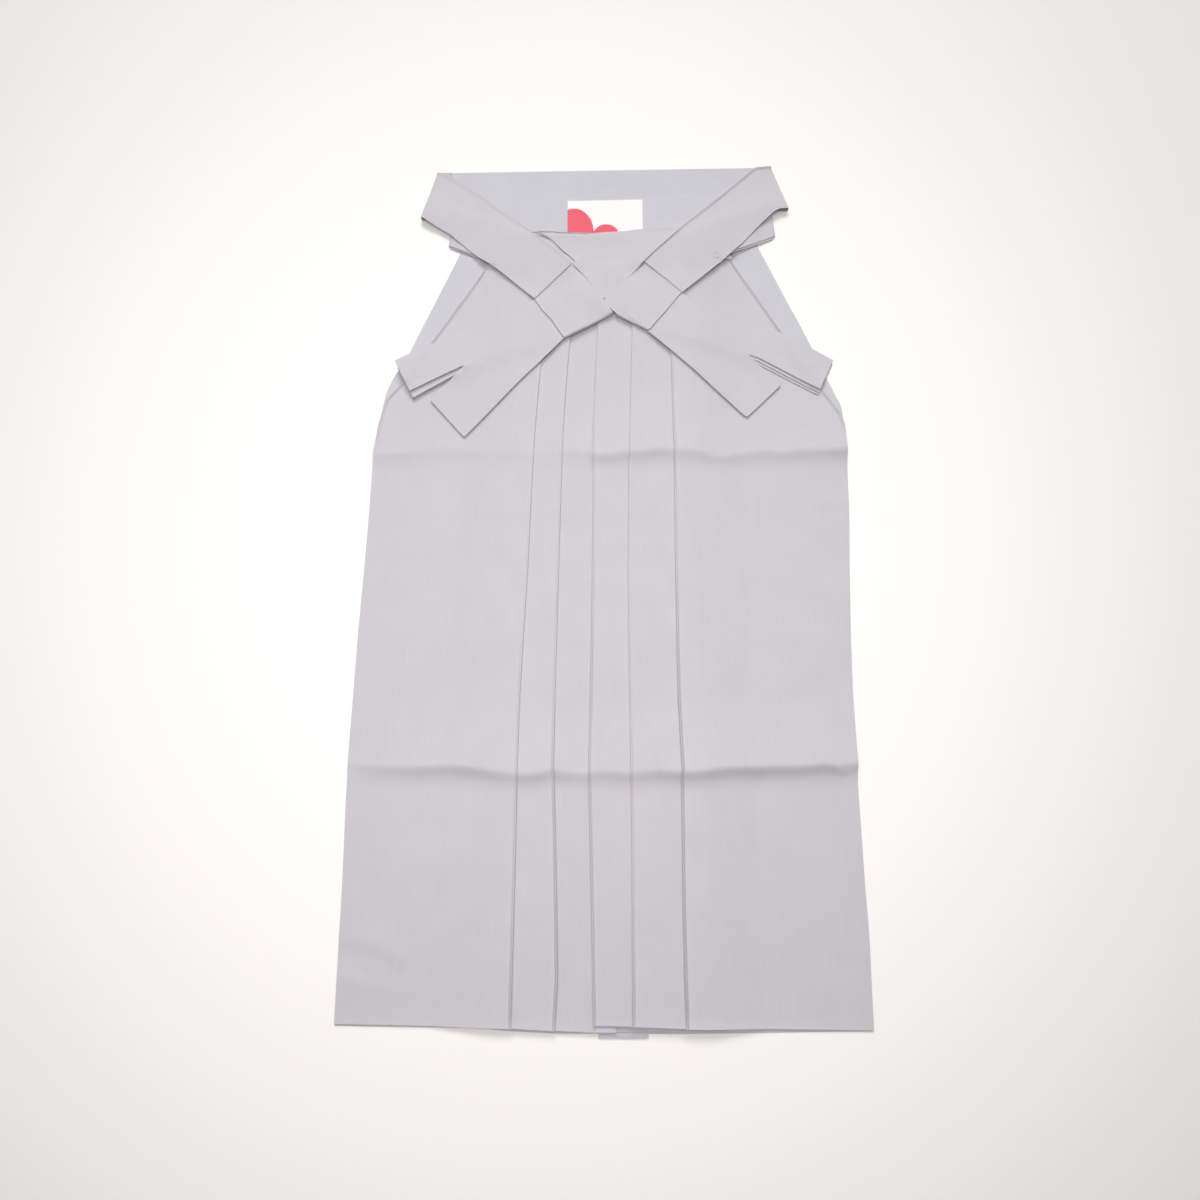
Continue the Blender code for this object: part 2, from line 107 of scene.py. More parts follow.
# Points across a front: at its side, over its flat, up its slope, to the outer pleat, and close to an edge
SIDE_STEPS, FLAT_STEPS, SLOPE_STEPS, SETTLE_STEPS, LIP_STEPS = 5, 24, 12, 3, 8
# From one pleat's return to the next pleat, the same where it is wider, to the centre, and on to the seam
PLEAT_STEPS, WIDE_PLEAT_STEPS, CENTRE_STEPS, SEAM_STEPS = 9, 11, 14, 4
# Round a fold, and under it
FOLD_STEPS, UNDER_STEPS = 5, 5
# How wide the close points reach at a pleat's edge and at the side
LIP, SIDE_FINE = 5, 8

SIDE_COLUMNS = ("y", "left", "right")
FRONT_SIDES = (
    (0, -310, 309.5), (109, -308, 308.5), (160, -307, 306), (258, -306.5, 303), (296, -306, 302),
    (376, -303, 301), (452, -300, 301), (543, -295, 303), (604, -292, 305), (689, -289, 305),
    (724, -283, 302.5), (737, -280, 298), (754, -275, 287), (778, -254, 269.5), (828, -222, 239),
    (890, -181, 198), (940, -148, 165), (981, -120, 138),
)
BACK_SIDES = (
    (0, -310, 309.5), (160, -307, 306), (296, -306, 302), (452, -300, 301), (604, -292, 305),
    (689, -289, 305), (724, -284, 303.5), (748, -279.5, 301), (763, -277, 294), (785, -268, 284),
    (813, -251, 272), (851, -234, 255), (892, -215, 235), (956, -186, 205), (1030, -152, 170),
)

# Hems and the front waist, as (x, y)
LEFT_HEM = ((-310, 5), (-107, 1), (-57, -2), (-12, -4))
RIGHT_HEM = ((-12, 4), (33, 3), (94, 1), (309.5, -2))
FRONT_WAIST = ((-120, 981), (-5, 980), (60, 984), (138, 988))
BACK_HEM = (
    (-310, 2.5), (-150, 0), (-107, -3.5), (-57, -6), (94, -6.5), (140, -6), (220, -4.5), (309.5, -3.5),
)
FRONT_LENGTH, BACK_LENGTH, HEM_FADE = 981, 980, 12
# How far the front hem stands above what is under it, as (x, height)
HEM_LIFTS = (
    (-310, 0.8), (-230, 1.0), (-107, 1.5), (-57, 1.4), (-12, 1.2), (33, 1.2), (92, 1.5), (96, 2.2),
    (200, 1.6), (309, 1.0),
)
HEM_SPREAD = 7
# Rows of the fronts: over their length, close to the hem, and closer over each storage fold
FRONT_ROWS, HEM_ROWS, FOLD_ROWS, FOLD_BANDS = 262, (1, 2.2), 23, ((268, 312), (660, 704))

# Storage folds: the crest's line and how strong it is along it
CREST_COLUMNS = ("x", "y", "strength")
UPPER_CREST = (
    (-300, 685, 0.4), (-270, 687, 0.75), (-240, 688, 0.7), (-215, 694, 0.55), (-195, 695, 0.5),
    (-160, 689, 0.45), (-130, 686, 0.4), (-100, 687, 0.35), (-78, 687, 0.35), (-58, 685, 0.35),
    (-48, 690, 0.6), (-22, 689, 0.55), (-12, 684, 1.1), (5, 684, 1.2), (25, 688, 1.3), (45, 687, 1.25),
    (62, 690, 1.3), (80, 690, 1.25), (92, 689, 1.0), (105, 689, 1.05), (125, 686, 1.15), (140, 681, 0.75),
    (150, 681, 0.9), (165, 685, 0.95), (185, 689, 0.9), (205, 691, 1.05), (225, 688, 1.05),
    (245, 691, 1.15), (265, 692, 1.3), (285, 692, 1.45), (305, 693, 1.5),
)
LOWER_CREST = (
    (-303, 304, 0.35), (-285, 301, 0.6), (-262, 300, 1.0), (-240, 299, 1.15), (-218, 299, 1.4),
    (-198, 300, 1.3), (-178, 301, 1.4), (-160, 299, 1.6), (-140, 296, 1.4), (-120, 293, 1.4),
    (-102, 291, 1.1), (-92, 291, 1.4), (-76, 292, 1.4), (-60, 296, 1.3), (-50, 293, 1.15), (-20, 291, 0.95),
    (-8, 294, 1.2), (8, 294, 1.25), (25, 292, 1.3), (45, 293, 1.2), (62, 295, 1.4), (84, 294, 1.75),
    (100, 293, 1.7), (122, 295, 1.85), (142, 298, 1.9), (162, 299, 1.95), (182, 299, 2.1),
    (204, 300, 1.85), (225, 300, 1.85), (245, 301, 1.95), (264, 303, 1.9), (280, 300, 1.6),
    (292, 302, 1.5), (303, 304, 1.6),
)
CREST_SLOPE, CREST_CURVE, CREST_STEEP = 90, 1.6, 4.2

# Small creases: two ends, height, and how far it spreads on each side of its line
CREASES = (
    (-275, 768, -95, 772, 2.6, 34, 60),
    (-310, 101, -266, 93, 1.3, 9, 16),
    (-270, 95, -228, 72, 1.1, 7, 18),
    (-292, 51, -236, 38, 0.5, 4, 10),
    (-306, 60, -276, 46, 0.9, 14, 8),
    (246, 93, 309, 80, 0.7, 10, 16),
    (268, 621, 304, 619, 0.6, 4, 12),
    (138, 690, 145, 676, 0.9, 3, 3),
    (271, 302, 286, 289, 0.9, 3, 3),
    (-118, 543, -102, 549, 0.3, 3, 6),
    (-2, 448, 21, 464, 0.22, 1.3, 1.3),
    (1, 64, 33, 94, 0.25, 1.4, 1.4),
    (150, 640, 250, 655, 0.25, 10, 22),
    (-250, 560, -140, 574, 0.2, 10, 26),
    (120, 210, 290, 190, 0.3, 16, 30),
    (-280, 180, -140, 200, 0.25, 16, 30),
    (-40, 130, 80, 120, 0.25, 10, 24),
)
TIE_CREASES = {
    "back_tie_left_run": ((-156, 917, -141, 935, -3.2, 2.4, 3), (-190, 990, -150, 1000, 0.3, 7, 10)),
    "back_tie_right_run": ((159, 928, 144, 949, -3.2, 3, 2.4), (160, 1010, 200, 1030, 0.3, 8, 12)),
}
# How fast a small crease fades at its ends, and about how much of it is left there
CREASE_FADE, CREASE_END = 5, 0.6
# Low lines pressed along the legs, from end to end, and their height, fade and spread to the left and right
PRESSED = ((137, 676, 133, 498), (133, 498, 135, 360), (-171, 520, -169, 300))
PRESSED_HEIGHT, PRESSED_FADE, PRESSED_LEFT, PRESSED_RIGHT = 0.5, 60, 7, 16
# Soft unevenness: waves across and along, in radians a millimetre, their phase and share, and how all bend
RUMPLE_WAVES = (
    (0.047, 0.021, 0.3, 0.30), (-0.031, 0.043, 1.9, 0.26), (0.019, -0.066, 4.0, 0.20),
    (0.083, 0.012, 2.2, 0.12), (-0.012, 0.105, 5.1, 0.12), (0.011, 0.009, 0.9, 0.35),
)
RUMPLE_BEND, RUMPLE_BEND_X, RUMPLE_BEND_Y = 0.8, 0.013, -0.017

# The back waistband between the ties: the ends of its top edge, its width, and how much the back covers
BACK_BAND_TOP = ((-217, 1070), (219, 1078))
BACK_BAND_WIDTH, BACK_BAND_OVERLAP = 64, 22
# At each end of it the tie turns back over it: the fold's upper and lower x, and the way to the middle
BAND_FOLDS = ((-217, -236, 1), (219, 239, -1))
BAND_TURN, BAND_GAP = 18, 0.3
BACK_BAND_ROWS, BACK_BAND_COLUMNS, BACK_ROWS, BACK_TOP_ROWS, BACK_COLUMNS = 24, 121, 140, 30, 90
# Down from the band's lower edge: where the back's rows get closer, where it starts to tilt with the band
# and to rise on to it, and how long each takes
BACK_TOP, TILT_START, TILT_LENGTH, RISE_START, RISE_LENGTH = 60, 30, 20, 50, 46

FRONT_BAND_WIDTH, FRONT_BAND_COLUMNS = 44, 120
# Rows of the front waistband, down from its top edge
FRONT_BAND_EDGE = (0, 0.5, 1.0, 1.5, 2.0, 2.6, 3.4, 4.6)
FRONT_BAND_NEXT, FRONT_BAND_ROWS = 6.5, 14
# The sunk line below its top edge: how deep, how far down, how wide, and where it starts and ends along it
SLIT, SLIT_DOWN, SLIT_WIDTH = 2.6, 1.2, 0.6
SLIT_START, SLIT_START_FADE, SLIT_END, SLIT_END_FADE = -92, 10, -2, 40

# The label: its width and height, the middle of its top edge and its slope, and the distance of its threads
LABEL_SIZE, LABEL_TOP, LABEL_TILT = (98, 56), (2, 1030), 0.02
LABEL_ROWS, LABEL_COLUMNS, LABEL_PITCH = 29, 50, 0.3
# Two red rounds on the label: centre and half sizes, from its upper left corner
LABEL_ROUNDS = ((8, 45, 26, 34), (50, 52, 18, 18))

# The gusset: the x of its fold and of both layers' other edge, the y of their hems, and its top
GUSSET_LEFT, GUSSET_LOWER_RIGHT, GUSSET_UPPER_RIGHT = -6, 51, 74
GUSSET_LOWER_HEM, GUSSET_UPPER_HEM, GUSSET_TOP = -11, -4, 420
# The last is how many points of the fold hang with the lower layer
GUSSET_ROWS, GUSSET_LOWER_STEPS, GUSSET_UPPER_STEPS, GUSSET_FOLD = 90, 14, 18, 3

# Ties: each row crosses the tie, as x and y of its edge nearer the waist, then of its edge nearer the hem.
# In the front ties a fifth number says how far the plies under the top one are moved towards the hem
TIES = {
    "back_tie_left_run": (
        (-217, 1070, -236.5, 1002.5), (-190, 1055, -216, 989.5), (-161, 1037, -199, 979.5),
        (-139, 1018, -182.5, 965), (-116, 999, -161, 946.5), (-92, 979, -138, 931), (-41, 936, -88, 887),
    ),
    "back_tie_right_run": (
        (219, 1078, 240, 1015.5), (211, 1077.5, 229, 1014.5), (199, 1076, 220.5, 1009),
        (176, 1056, 203.5, 993.5), (143, 1026, 182, 969.8), (105, 990, 157, 944.8), (51, 938, 100, 894),
    ),
    "back_tie_left_leg": (
        (-219, 754, -175, 705), (-155, 820, -112, 770), (-92, 885, -50, 835), (-73, 904, -31, 854),
    ),
    "back_tie_right_leg": (
        (225, 775, 180, 731), (164, 833, 120, 786), (103, 892, 56, 843), (84, 911, 37, 862),
    ),
    "back_tie_left_square": (
        (-55, 947, -102, 899), (-41, 934, -88, 886), (-24, 918, -79, 872), (-11, 900, -66, 858),
        (1, 884, -57, 844), (12, 867, -50, 834),
    ),
    "back_tie_right_square": (
        (65, 949, 113, 907), (51, 936, 99, 894), (28, 913, 79, 869), (9, 894, 66, 854), (-1, 883, 60, 846),
        (15.5, 865.3, 56, 843.5),
    ),
    "back_tie_right_head": (
        (4, 977, -93, 978.5), (2, 974, -82, 977), (-5, 967, -68, 970), (-14, 949, -48.5, 951),
        (-31, 930, -38, 941),
    ),
    "back_tie_left_head": (
        (-5, 979, 95.6, 979), (-24, 957, 72.7, 957), (-39.8, 935.5, 53, 938), (-24.5, 918.5, 30, 913),
        (-15.5, 906, 20, 905), (-9, 897, 12.5, 897), (-2, 887, 4, 887),
    ),
    "front_tie_left": (
        (-194, 1008, -200, 965, 2), (-90, 969, -100, 926, 1), (22, 914, 4, 875, 0), (76, 888, 56, 849, 0),
        (133, 874, 120, 832, 0), (212, 852, 195, 812, 7), (292, 808, 273, 768, 6.5),
    ),
    "front_tie_right": (
        (218, 1021, 222, 979, 3), (160, 1000, 172, 959, 2), (99, 970, 120, 931, 1), (-1, 913, 20, 875, 0),
        (-66, 879, -48, 839, 0), (-122, 860, -110, 818, 0), (-196, 838, -176, 799, 5),
        (-264, 804, -244, 764, 9.5),
    ),
    "front_tie_left_start": ((-127, 980, -152, 940), (-158, 993, -170, 951), (-194, 1008, -200, 965)),
    "front_tie_right_start": ((145, 990, 168, 951), (180, 1005, 190, 963), (218, 1021, 222, 979)),
}
# A tie's rows are about this far apart, and have this many steps
TIE_STEP, TIE_ACROSS = 2.5, 24
# The closer columns near a run's long edge, counted from it
EDGE_COLUMNS = (0, 0.2, 0.45, 0.8, 1.3)
# How far a folded layer bulges past its fold, and in how many steps it turns
TURN_BULGE, PLY_BULGE, TURN_STEPS = 1.0, 0.7, 8

# Front ties: the side that each starts from, the share of the fifth number that its upper ply is moved by,
# and the gap between the plies at its end
FRONT_TIES = (("front_tie_right", 1, 0.93, 2.5), ("front_tie_left", -1, 0.56, 0.9))
# The air between pressed plies, and how far they start inside the fold
PLY_GAP, PLY_INSIDE = 0.1, 1.5
# Where along a front tie its plies start to part, and over how much of its length
PART_START, PART_LENGTH = 0.72, 0.2

# Squares of the knot: how deep the turned edge goes under the front ties and in how many rows, how far it
# is drawn in and over how many rows, how its turn leans, and how far the edge nearer the hem curls up
SQUARES = ("back_tie_left_square", "back_tie_right_square")
TUCK, TUCK_ROWS, INSET, INSET_ROWS, SQUARE_LEAN, SQUARE_CURL = 16, 7, 1.6, 4, 1.4, 1.1
# Runs: the way of the fold at the start, how high its lower corner stands, and how far its upper edge curls
RUNS = (("back_tie_right_run", 1, 7.5, 2.2), ("back_tie_left_run", -1, 9.5, 0.9))
CORNER_SPREAD, CURL_SPREAD, SEAM_ROWS, SEAM_LIFT = 40, 0.7, 6, 0.02
# Legs: how high the free end stands, where along the leg that has faded out, and over how much of it
LEG_ROOM, LEG_LEVEL, LEG_FADE = 2.4, 0.9, 0.35
# Their rounded corners: how long, how much narrower the upper one is, and the points as shares of both
CORNER, UPPER_CORNER = 3.0, 0.6
CORNER_POINTS = ((0, 1), (0.15, 0.55), (0.45, 0.2), (1, 0))
# Heads: below LEVEL_Y the left one is level with the squares, and above OVER_Y it lies over the right one
LEVEL_Y, LEVEL_LENGTH, OVER_Y, OVER_LENGTH, OVER_SPREAD = 944, 14, 908, 12, 6
HEAD_SUNK, HEAD_SEARCH = 0.45, 4

# How cloth is let down on cloth: the air between, how much it sags from point to point, and the passes
ROOM, RUN_ROOM, SAG, SAG_PASSES, SOFT_PASSES = 0.3, 0.15, 0.025, 320, 5
# What lies below is looked for downwards from here
HIGH_ABOVE = 200
DOWN = Vector((0, 0, -1))

# Every piece's soft edge: its share of the wall, its segments, and the angle from which an edge is softened
RIM, RIM_SEGMENTS, RIM_ANGLE = 0.35, 2, math.radians(60)

# Stage, in metres
FLOOR_SIZE, FLOOR_ROUGHNESS, FLOOR_SPECULAR = 6, 0.9, 0.1
KEY_PLACE, KEY_SIZE, KEY_COLOUR = (0.0, 3.4, 3.7), 2.0, (0.95, 0.98, 1)
OVERHEAD_PLACE, OVERHEAD_SIZE, OVERHEAD_SPREAD = (-0.09, -0.1, 2.1), 1.2, math.radians(70)
ROOM_COLOUR = (1, 0.98, 0.95, 1)
CAMERA_PLACE, CAMERA_TILT = (-0.00445, -0.26904, 1.330), math.radians(10)
# Of the camera's lens, in millimetres
CAMERA_FOCUS, CAMERA_SENSOR = 33, 36


class HakamaCloth(bpy.types.PropertyGroup):
    """The cloth's colours, thicknesses and relief"""

    colour: bpy.props.FloatVectorProperty(
        name="Cloth", description="Colour of the cloth's right side", subtype="COLOR", size=3,
        default=(0.5615, 0.526, 0.5617), min=0, max=1)
    inside: bpy.props.FloatVectorProperty(
        name="Cloth inside", description="Colour of the cloth's wrong side", subtype="COLOR", size=3,
        default=(0.562, 0.540, 0.588), min=0, max=1)
    wall: bpy.props.FloatProperty(
        name="Panel", description="Thickness of one panel", default=0.0008, unit="LENGTH",
        min=0.0002, max=0.002)
    tie: bpy.props.FloatProperty(
        name="Tie", description="Thickness of a tie, which is a flat tube", default=0.0009, unit="LENGTH",
        min=0.0004, max=0.003)
    rumple: bpy.props.FloatProperty(
        name="Rumple", description="Height of the cloth's soft unevenness", default=0.0006, unit="LENGTH",
        min=0, max=0.002)
    crest: bpy.props.FloatProperty(
        name="Storage fold", description="Height of the two storage folds", default=0.0053, unit="LENGTH",
        min=0, max=0.008)
    thread: bpy.props.FloatProperty(
        name="Thread pitch", description="Distance from thread to thread of the weave", default=0.0005,
        unit="LENGTH", min=0.0002, max=0.002)


class HakamaLabel(bpy.types.PropertyGroup):
    """The label's colours"""

    ground: bpy.props.FloatVectorProperty(
        name="Label", description="Colour of the label's ground", subtype="COLOR", size=3,
        default=(0.93, 0.885, 0.873), min=0, max=1)
    motif: bpy.props.FloatVectorProperty(
        name="Motif", description="Colour of the label's plain shapes", subtype="COLOR", size=3,
        default=(0.80, 0.10, 0.14), min=0, max=1)


class HakamaStage(bpy.types.PropertyGroup):
    """The surface's colour and the strength of the light"""

    floor: bpy.props.FloatVectorProperty(
        name="Floor", description="Colour of the surface it lies on", subtype="COLOR", size=3,
        default=(0.95, 0.905, 0.88), min=0, max=1)
    key: bpy.props.FloatProperty(
        name="Key light", description="Power of the soft light from beyond the waist", default=152,
        unit="POWER", min=0, max=2000)
    overhead: bpy.props.FloatProperty(
        name="Overhead light", description="Power of the wide light straight above", default=5.1,
        unit="POWER", min=0, max=1000)
    fill: bpy.props.FloatProperty(
        name="Fill", description="Strength of the light from all round", default=0.215, min=0, max=5)


# Tables and heights ----------


def along(line, x):
    """The value of a line of (x, value) points at x."""
    return np.interp(x, [point[0] for point in line], [point[1] for point in line])


def column(table, columns, name, at):
    """The named column of a table, read at values of its first column."""
    index = columns.index(name)
    return np.interp(at, [row[0] for row in table], [row[index] for row in table])


def side_to_side(sides, y, count):
    """The x of a number of points across a panel at each y."""
    left, right = [column(sides, SIDE_COLUMNS, name, y) for name in ("left", "right")]
    return left + (right - left) * np.linspace(0, 1, count)


def smooth(share):
    """A soft step: 0 up to a share of 0, and 1 from a share of 1."""
    share = np.clip(share, 0, 1)
    return share * share * (3 - 2 * share)


def hem_fade(y, length):
    """How much of a hem's own line is left at y, on cloth of that length."""
    return (1 - y / length) ** HEM_FADE


def crest_height(x, y, height):
    """The two storage folds: a long slope on the waist side, a steep one towards the hem."""
    total = np.zeros(np.broadcast(x, y).shape)
    for line in (UPPER_CREST, LOWER_CREST):
        off = y - column(line, CREST_COLUMNS, "y", x)
        strength = column(line, CREST_COLUMNS, "strength", x)
        above = np.clip(1 - off / CREST_SLOPE, 0, 1) ** CREST_CURVE
        steep = np.clip(-off, 0, None) / CREST_STEEP
        below = (1 + steep + steep * steep / 2) * np.exp(-steep)
        total += height * strength * np.where(off >= 0, above, below)
    return total


def crease_height(x, y, creases):
    """Small creases, listed one by one, each uneven across and fading at its ends."""
    total = np.zeros(np.broadcast(x, y).shape)
    for x1, y1, x2, y2, height, near, far in creases:
        length = math.hypot(x2 - x1, y2 - y1)
        way_x, way_y = (x2 - x1) / length, (y2 - y1) / length
        share = ((x - x1) * way_x + (y - y1) * way_y) / length
        off = -(x - x1) * way_y + (y - y1) * way_x
        spread = np.where(off > 0, far, near)
        ends = smooth(share * CREASE_FADE + CREASE_END) * smooth((1 - share) * CREASE_FADE + CREASE_END)
        total += height * ends * np.exp(-(off / spread) ** 2)
    return total


def pressed_height(x, y):
    """The low lines pressed along the legs by the layers folded under them."""
    total = np.zeros(np.broadcast(x, y).shape)
    for x1, y1, x2, y2 in PRESSED:
        off = x - (x1 + (x2 - x1) * np.clip((y - y1) / (y2 - y1), 0, 1))
        spread = np.where(off > 0, PRESSED_RIGHT, PRESSED_LEFT)
        ends = smooth((y - min(y1, y2)) / PRESSED_FADE) * smooth((max(y1, y2) - y) / PRESSED_FADE)
        total += PRESSED_HEIGHT * ends * np.exp(-(off / spread) ** 2)
    return total


def rumple_height(x, y, height):
    """Soft unevenness of laid cloth, the same for all layers, so that none cuts into another."""
    bend = RUMPLE_BEND * np.sin(RUMPLE_BEND_X * x + RUMPLE_BEND_Y * y)
    total = sum(share * np.sin(kx * x + ky * y + phase + bend) for kx, ky, phase, share in RUMPLE_WAVES)
    return height * 0.5 * (1 + np.clip(total, -1, 1))


# Sections across a front: points (x, z) in the middle of its wall, and way is 1 to the right ----------


def layer(level):
    """Height of a pleat layer, counted from the lowest."""
    return PLEAT_Z + level * PITCH


def pleat(name, y):
    """Where a pleat's folded edge is at y."""
    return float(column(PLEATS, PLEAT_COLUMNS, name, y))


def return_width(y):
    """How far the pleats' cloth runs back under their edges at y."""
    return RETURN_AT_HEM + (RETURN_AT_WAIST - RETURN_AT_HEM) * y / RETURN_LENGTH


def fold_round(x, z_from, z_to, way):
    """Points round a fold at x, from one layer's height to the next; way is 1 for a right edge."""
    radius = abs(z_to - z_from) / 2
    angles = np.linspace(0, math.pi, FOLD_STEPS + 1)
    heights = (z_from + z_to) / 2 + (z_from - z_to) / 2 * np.cos(angles)
    return [(x - way * radius + way * radius * math.sin(a), z) for a, z in zip(angles, heights)]


def turned_under(x, z, way):
    """Points of the layer turned under an edge at x, close enough for it to rise with that edge."""
    reach = LIP - FOLD_RADIUS
    return [(x - way * (FOLD_RADIUS + reach * k / UNDER_STEPS), z) for k in range(1, UNDER_STEPS + 1)]


def spaced(points, counts):
    """A line through the points, with a set number of steps in each stretch."""
    line = []
    for (x0, z0), (x1, z1), count in zip(points, points[1:], counts):
        line += [(x0 + (x1 - x0) * i / count, z0 + (z1 - z0) * i / count) for i in range(count)]
    return line + [points[-1]]


def side_stretch(y, name, way, outer, top):
    """From a front's side, where it lies on the back, up its slope to the layer of its outer pleat."""
    side = float(column(FRONT_SIDES, SIDE_COLUMNS, name, y))
    high = outer - way * (return_width(y) + SETTLE)
    low = way * max(way * high - RAMP, way * side + SIDE_MARGIN)
    sunk = OUTER_Z + (top - OUTER_Z) * (1 - way * (high - low) / RAMP)
    fine = min(SIDE_FINE, way * (low - side) / 2)
    points = ((side, sunk), (side + way * fine, sunk), (low, sunk), (high, top))
    return spaced(points, (SIDE_STEPS, FLAT_STEPS, SLOPE_STEPS))


def pleat_stretch(start, edge, under, way, steps):
    """From a start to a pleat's edge, round it, and along the layer that is turned under it."""
    over, below = layer(under + 1), layer(under)
    points = ((start, over), (edge - way * LIP, over), (edge - way * FOLD_RADIUS, over))
    flat = spaced(points, (steps, LIP_STEPS))[1:-1]
    return flat + fold_round(edge, over, below, way) + turned_under(edge, below, way)


def lifted(outline, y, folds, side_name):
    """The outline at y with its side and its pleats' edges raised, given the layer under each."""
    side = float(column(FRONT_SIDES, SIDE_COLUMNS, side_name, y))
    raised = []
    for x, z in outline:
        rise = 0.0
        for name, under in folds:
            if layer(under) - LAYER_MARGIN < z < layer(under + 1) + LAYER_MARGIN:
                off = (x - pleat(name, y)) / LIFT_SPREAD
                rise += float(column(LIFTS, LIFT_COLUMNS, name, y)) * math.exp(-off * off)
        off = (x - side) / SIDE_SPREAD
        rise += float(column(LIFTS, LIFT_COLUMNS, "side", y)) * math.exp(-off * off)
        raised.append((x, z + rise))
    return raised


def left_section(y):
    """The left front at y, from the side seam to the centre seam."""
    outer, inner, centre = pleat("left_outer", y), pleat("left_inner", y), pleat("centre", y)
    back = return_width(y)
    outline = side_stretch(y, "left", 1, outer, layer(4))
    outline += pleat_stretch(outline[-1][0], outer, 3, 1, SETTLE_STEPS)
    outline += fold_round(outer - back, layer(3), layer(2), -1)
    outline += pleat_stretch(outer - back, inner, 1, 1, PLEAT_STEPS)
    outline += fold_round(inner - back, layer(1), layer(0), -1)
    points = ((inner - back, layer(0)), (centre, layer(0)), (centre + back, layer(0)))
    outline += spaced(points, (CENTRE_STEPS, SEAM_STEPS))[1:]
    return lifted(outline, y, (("left_outer", 3), ("left_inner", 1)), "left")


def right_section(y):
    """The right front at y, from the centre seam to the side seam."""
    centre, inner, outer = pleat("centre", y), pleat("right_inner", y), pleat("right_outer", y)
    back = return_width(y)
    outline = side_stretch(y, "right", -1, outer, layer(6))
    outline += pleat_stretch(outline[-1][0], outer, 5, -1, SETTLE_STEPS)
    outline += fold_round(outer + back, layer(5), layer(4), 1)
    outline += pleat_stretch(outer + back, inner, 3, -1, WIDE_PLEAT_STEPS)
    outline += fold_round(inner + back, layer(3), layer(2), 1)
    outline += pleat_stretch(inner + back, centre, 1, -1, PLEAT_STEPS)
    outline += [(centre + back, layer(1))]
    return lifted(outline[::-1], y, (("centre", 1), ("right_inner", 3), ("right_outer", 5)), "right")


# Nets: rows of points (x, y, z) in the middle of a wall ----------


def front_net(section, hem, cloth):
    """One front from the hem to the waist, with its hem, storage folds and creases."""
    bands = [np.linspace(start, end, FOLD_ROWS) for start, end in FOLD_BANDS]
    ys = np.unique(np.concatenate([np.linspace(0, FRONT_LENGTH, FRONT_ROWS), HEM_ROWS, *bands]))
    net = np.array([[(x, y, z) for x, z in section(y)] for y in ys])
    up = ys[:, None]
    waist = along(FRONT_WAIST, net[-1, :, 0]) - FRONT_LENGTH
    net[:, :, 1] += along(hem, net[0, :, 0]) * hem_fade(up, FRONT_LENGTH)
    net[:, :, 1] += waist * (up / FRONT_LENGTH) ** HEM_FADE
    x, y = net[:, :, 0], net[:, :, 1]
    net[:, :, 2] += crest_height(x, y, cloth.crest / MM) + rumple_height(x, y, cloth.rumple / MM)
    net[:, :, 2] += crease_height(x, y, CREASES) + pressed_height(x, y)
    net[:, :, 2] += along(HEM_LIFTS, net[0, :, 0]) * np.exp(-up / HEM_SPREAD)
    return net


def flat_row(row, out=0.0):
    """A table's row as a flat row of points across a tie, moved by out."""
    share = np.linspace(0, 1, TIE_ACROSS + 1)[:, None]
    flat = np.array(row[:2]) * (1 - share) + np.array(row[2:4]) * share + out
    return np.concatenate([flat, np.zeros((TIE_ACROSS + 1, 1))], axis=1)


def tie_net(table, shift=0.0):
    """A tie's table as a flat net; shift is how much of the fifth number each row moves towards the hem."""
    rows = np.array([list(row[:4]) + [row[4] if len(row) > 4 else 0] for row in table], float)
    middles = (rows[:, 0:2] + rows[:, 2:4]) / 2
    lengths = np.concatenate([[0], np.cumsum(np.hypot(*np.diff(middles, axis=0).T))])
    at = [0.0]
    for start, end in zip(lengths, lengths[1:]):
        at += list(np.linspace(start, end, max(1, round((end - start) / TIE_STEP)) + 1)[1:])
    rows = np.array([np.interp(at, lengths, rows[:, i]) for i in range(5)]).T
    upper, lower = rows[:, 0:2], rows[:, 2:4]
    way = (lower - upper) / np.linalg.norm(lower - upper, axis=1)[:, None]
    moved = way * rows[:, 4:5] * shift
    return np.array([flat_row(row, out) for row, out in zip(rows, moved)])


def turned(low_row, high_row, out, bulge=TURN_BULGE, lean=1.0):
    """Rows round the fold from a low row to the one over it; a lean above 1 puts its bulge near the top."""
    rows = []
    for k in range(1, TURN_STEPS):
        share = (1 - math.cos(math.pi * k / TURN_STEPS)) / 2
        row = low_row + (high_row - low_row) * share
        row[:, :2] += np.array(out) * bulge * math.sin(math.pi * share ** lean)
        rows.append(row)
    return np.array(rows)


def square_edge(table):
    """The way that a square's turned edge points, in plan."""
    upper_x, upper_y, lower_x, lower_y = table[-1]
    out = np.array((lower_y - upper_y, upper_x - lower_x), float)
    out /= np.hypot(*out)
    inside = np.array(table[0][:2]) - np.array((upper_x, upper_y))
    return -out if inside @ out > 0 else out


def fine_edges(net, curl):
    """Adds columns near a tie's long edges, and curls the edge nearer the waist up a little."""
    last = net.shape[1] - 1
    at = [*EDGE_COLUMNS, *range(2, last - 1), *(last - share for share in reversed(EDGE_COLUMNS))]
    at = np.array(at, float)
    before = np.minimum(at.astype(int), last - 1)
    share = (at - before)[None, :, None]
    net = net[:, before] * (1 - share) + net[:, before + 1] * share
    net[:, :, 2] += curl * np.exp(-(at / CURL_SPREAD) ** 2)
    return net


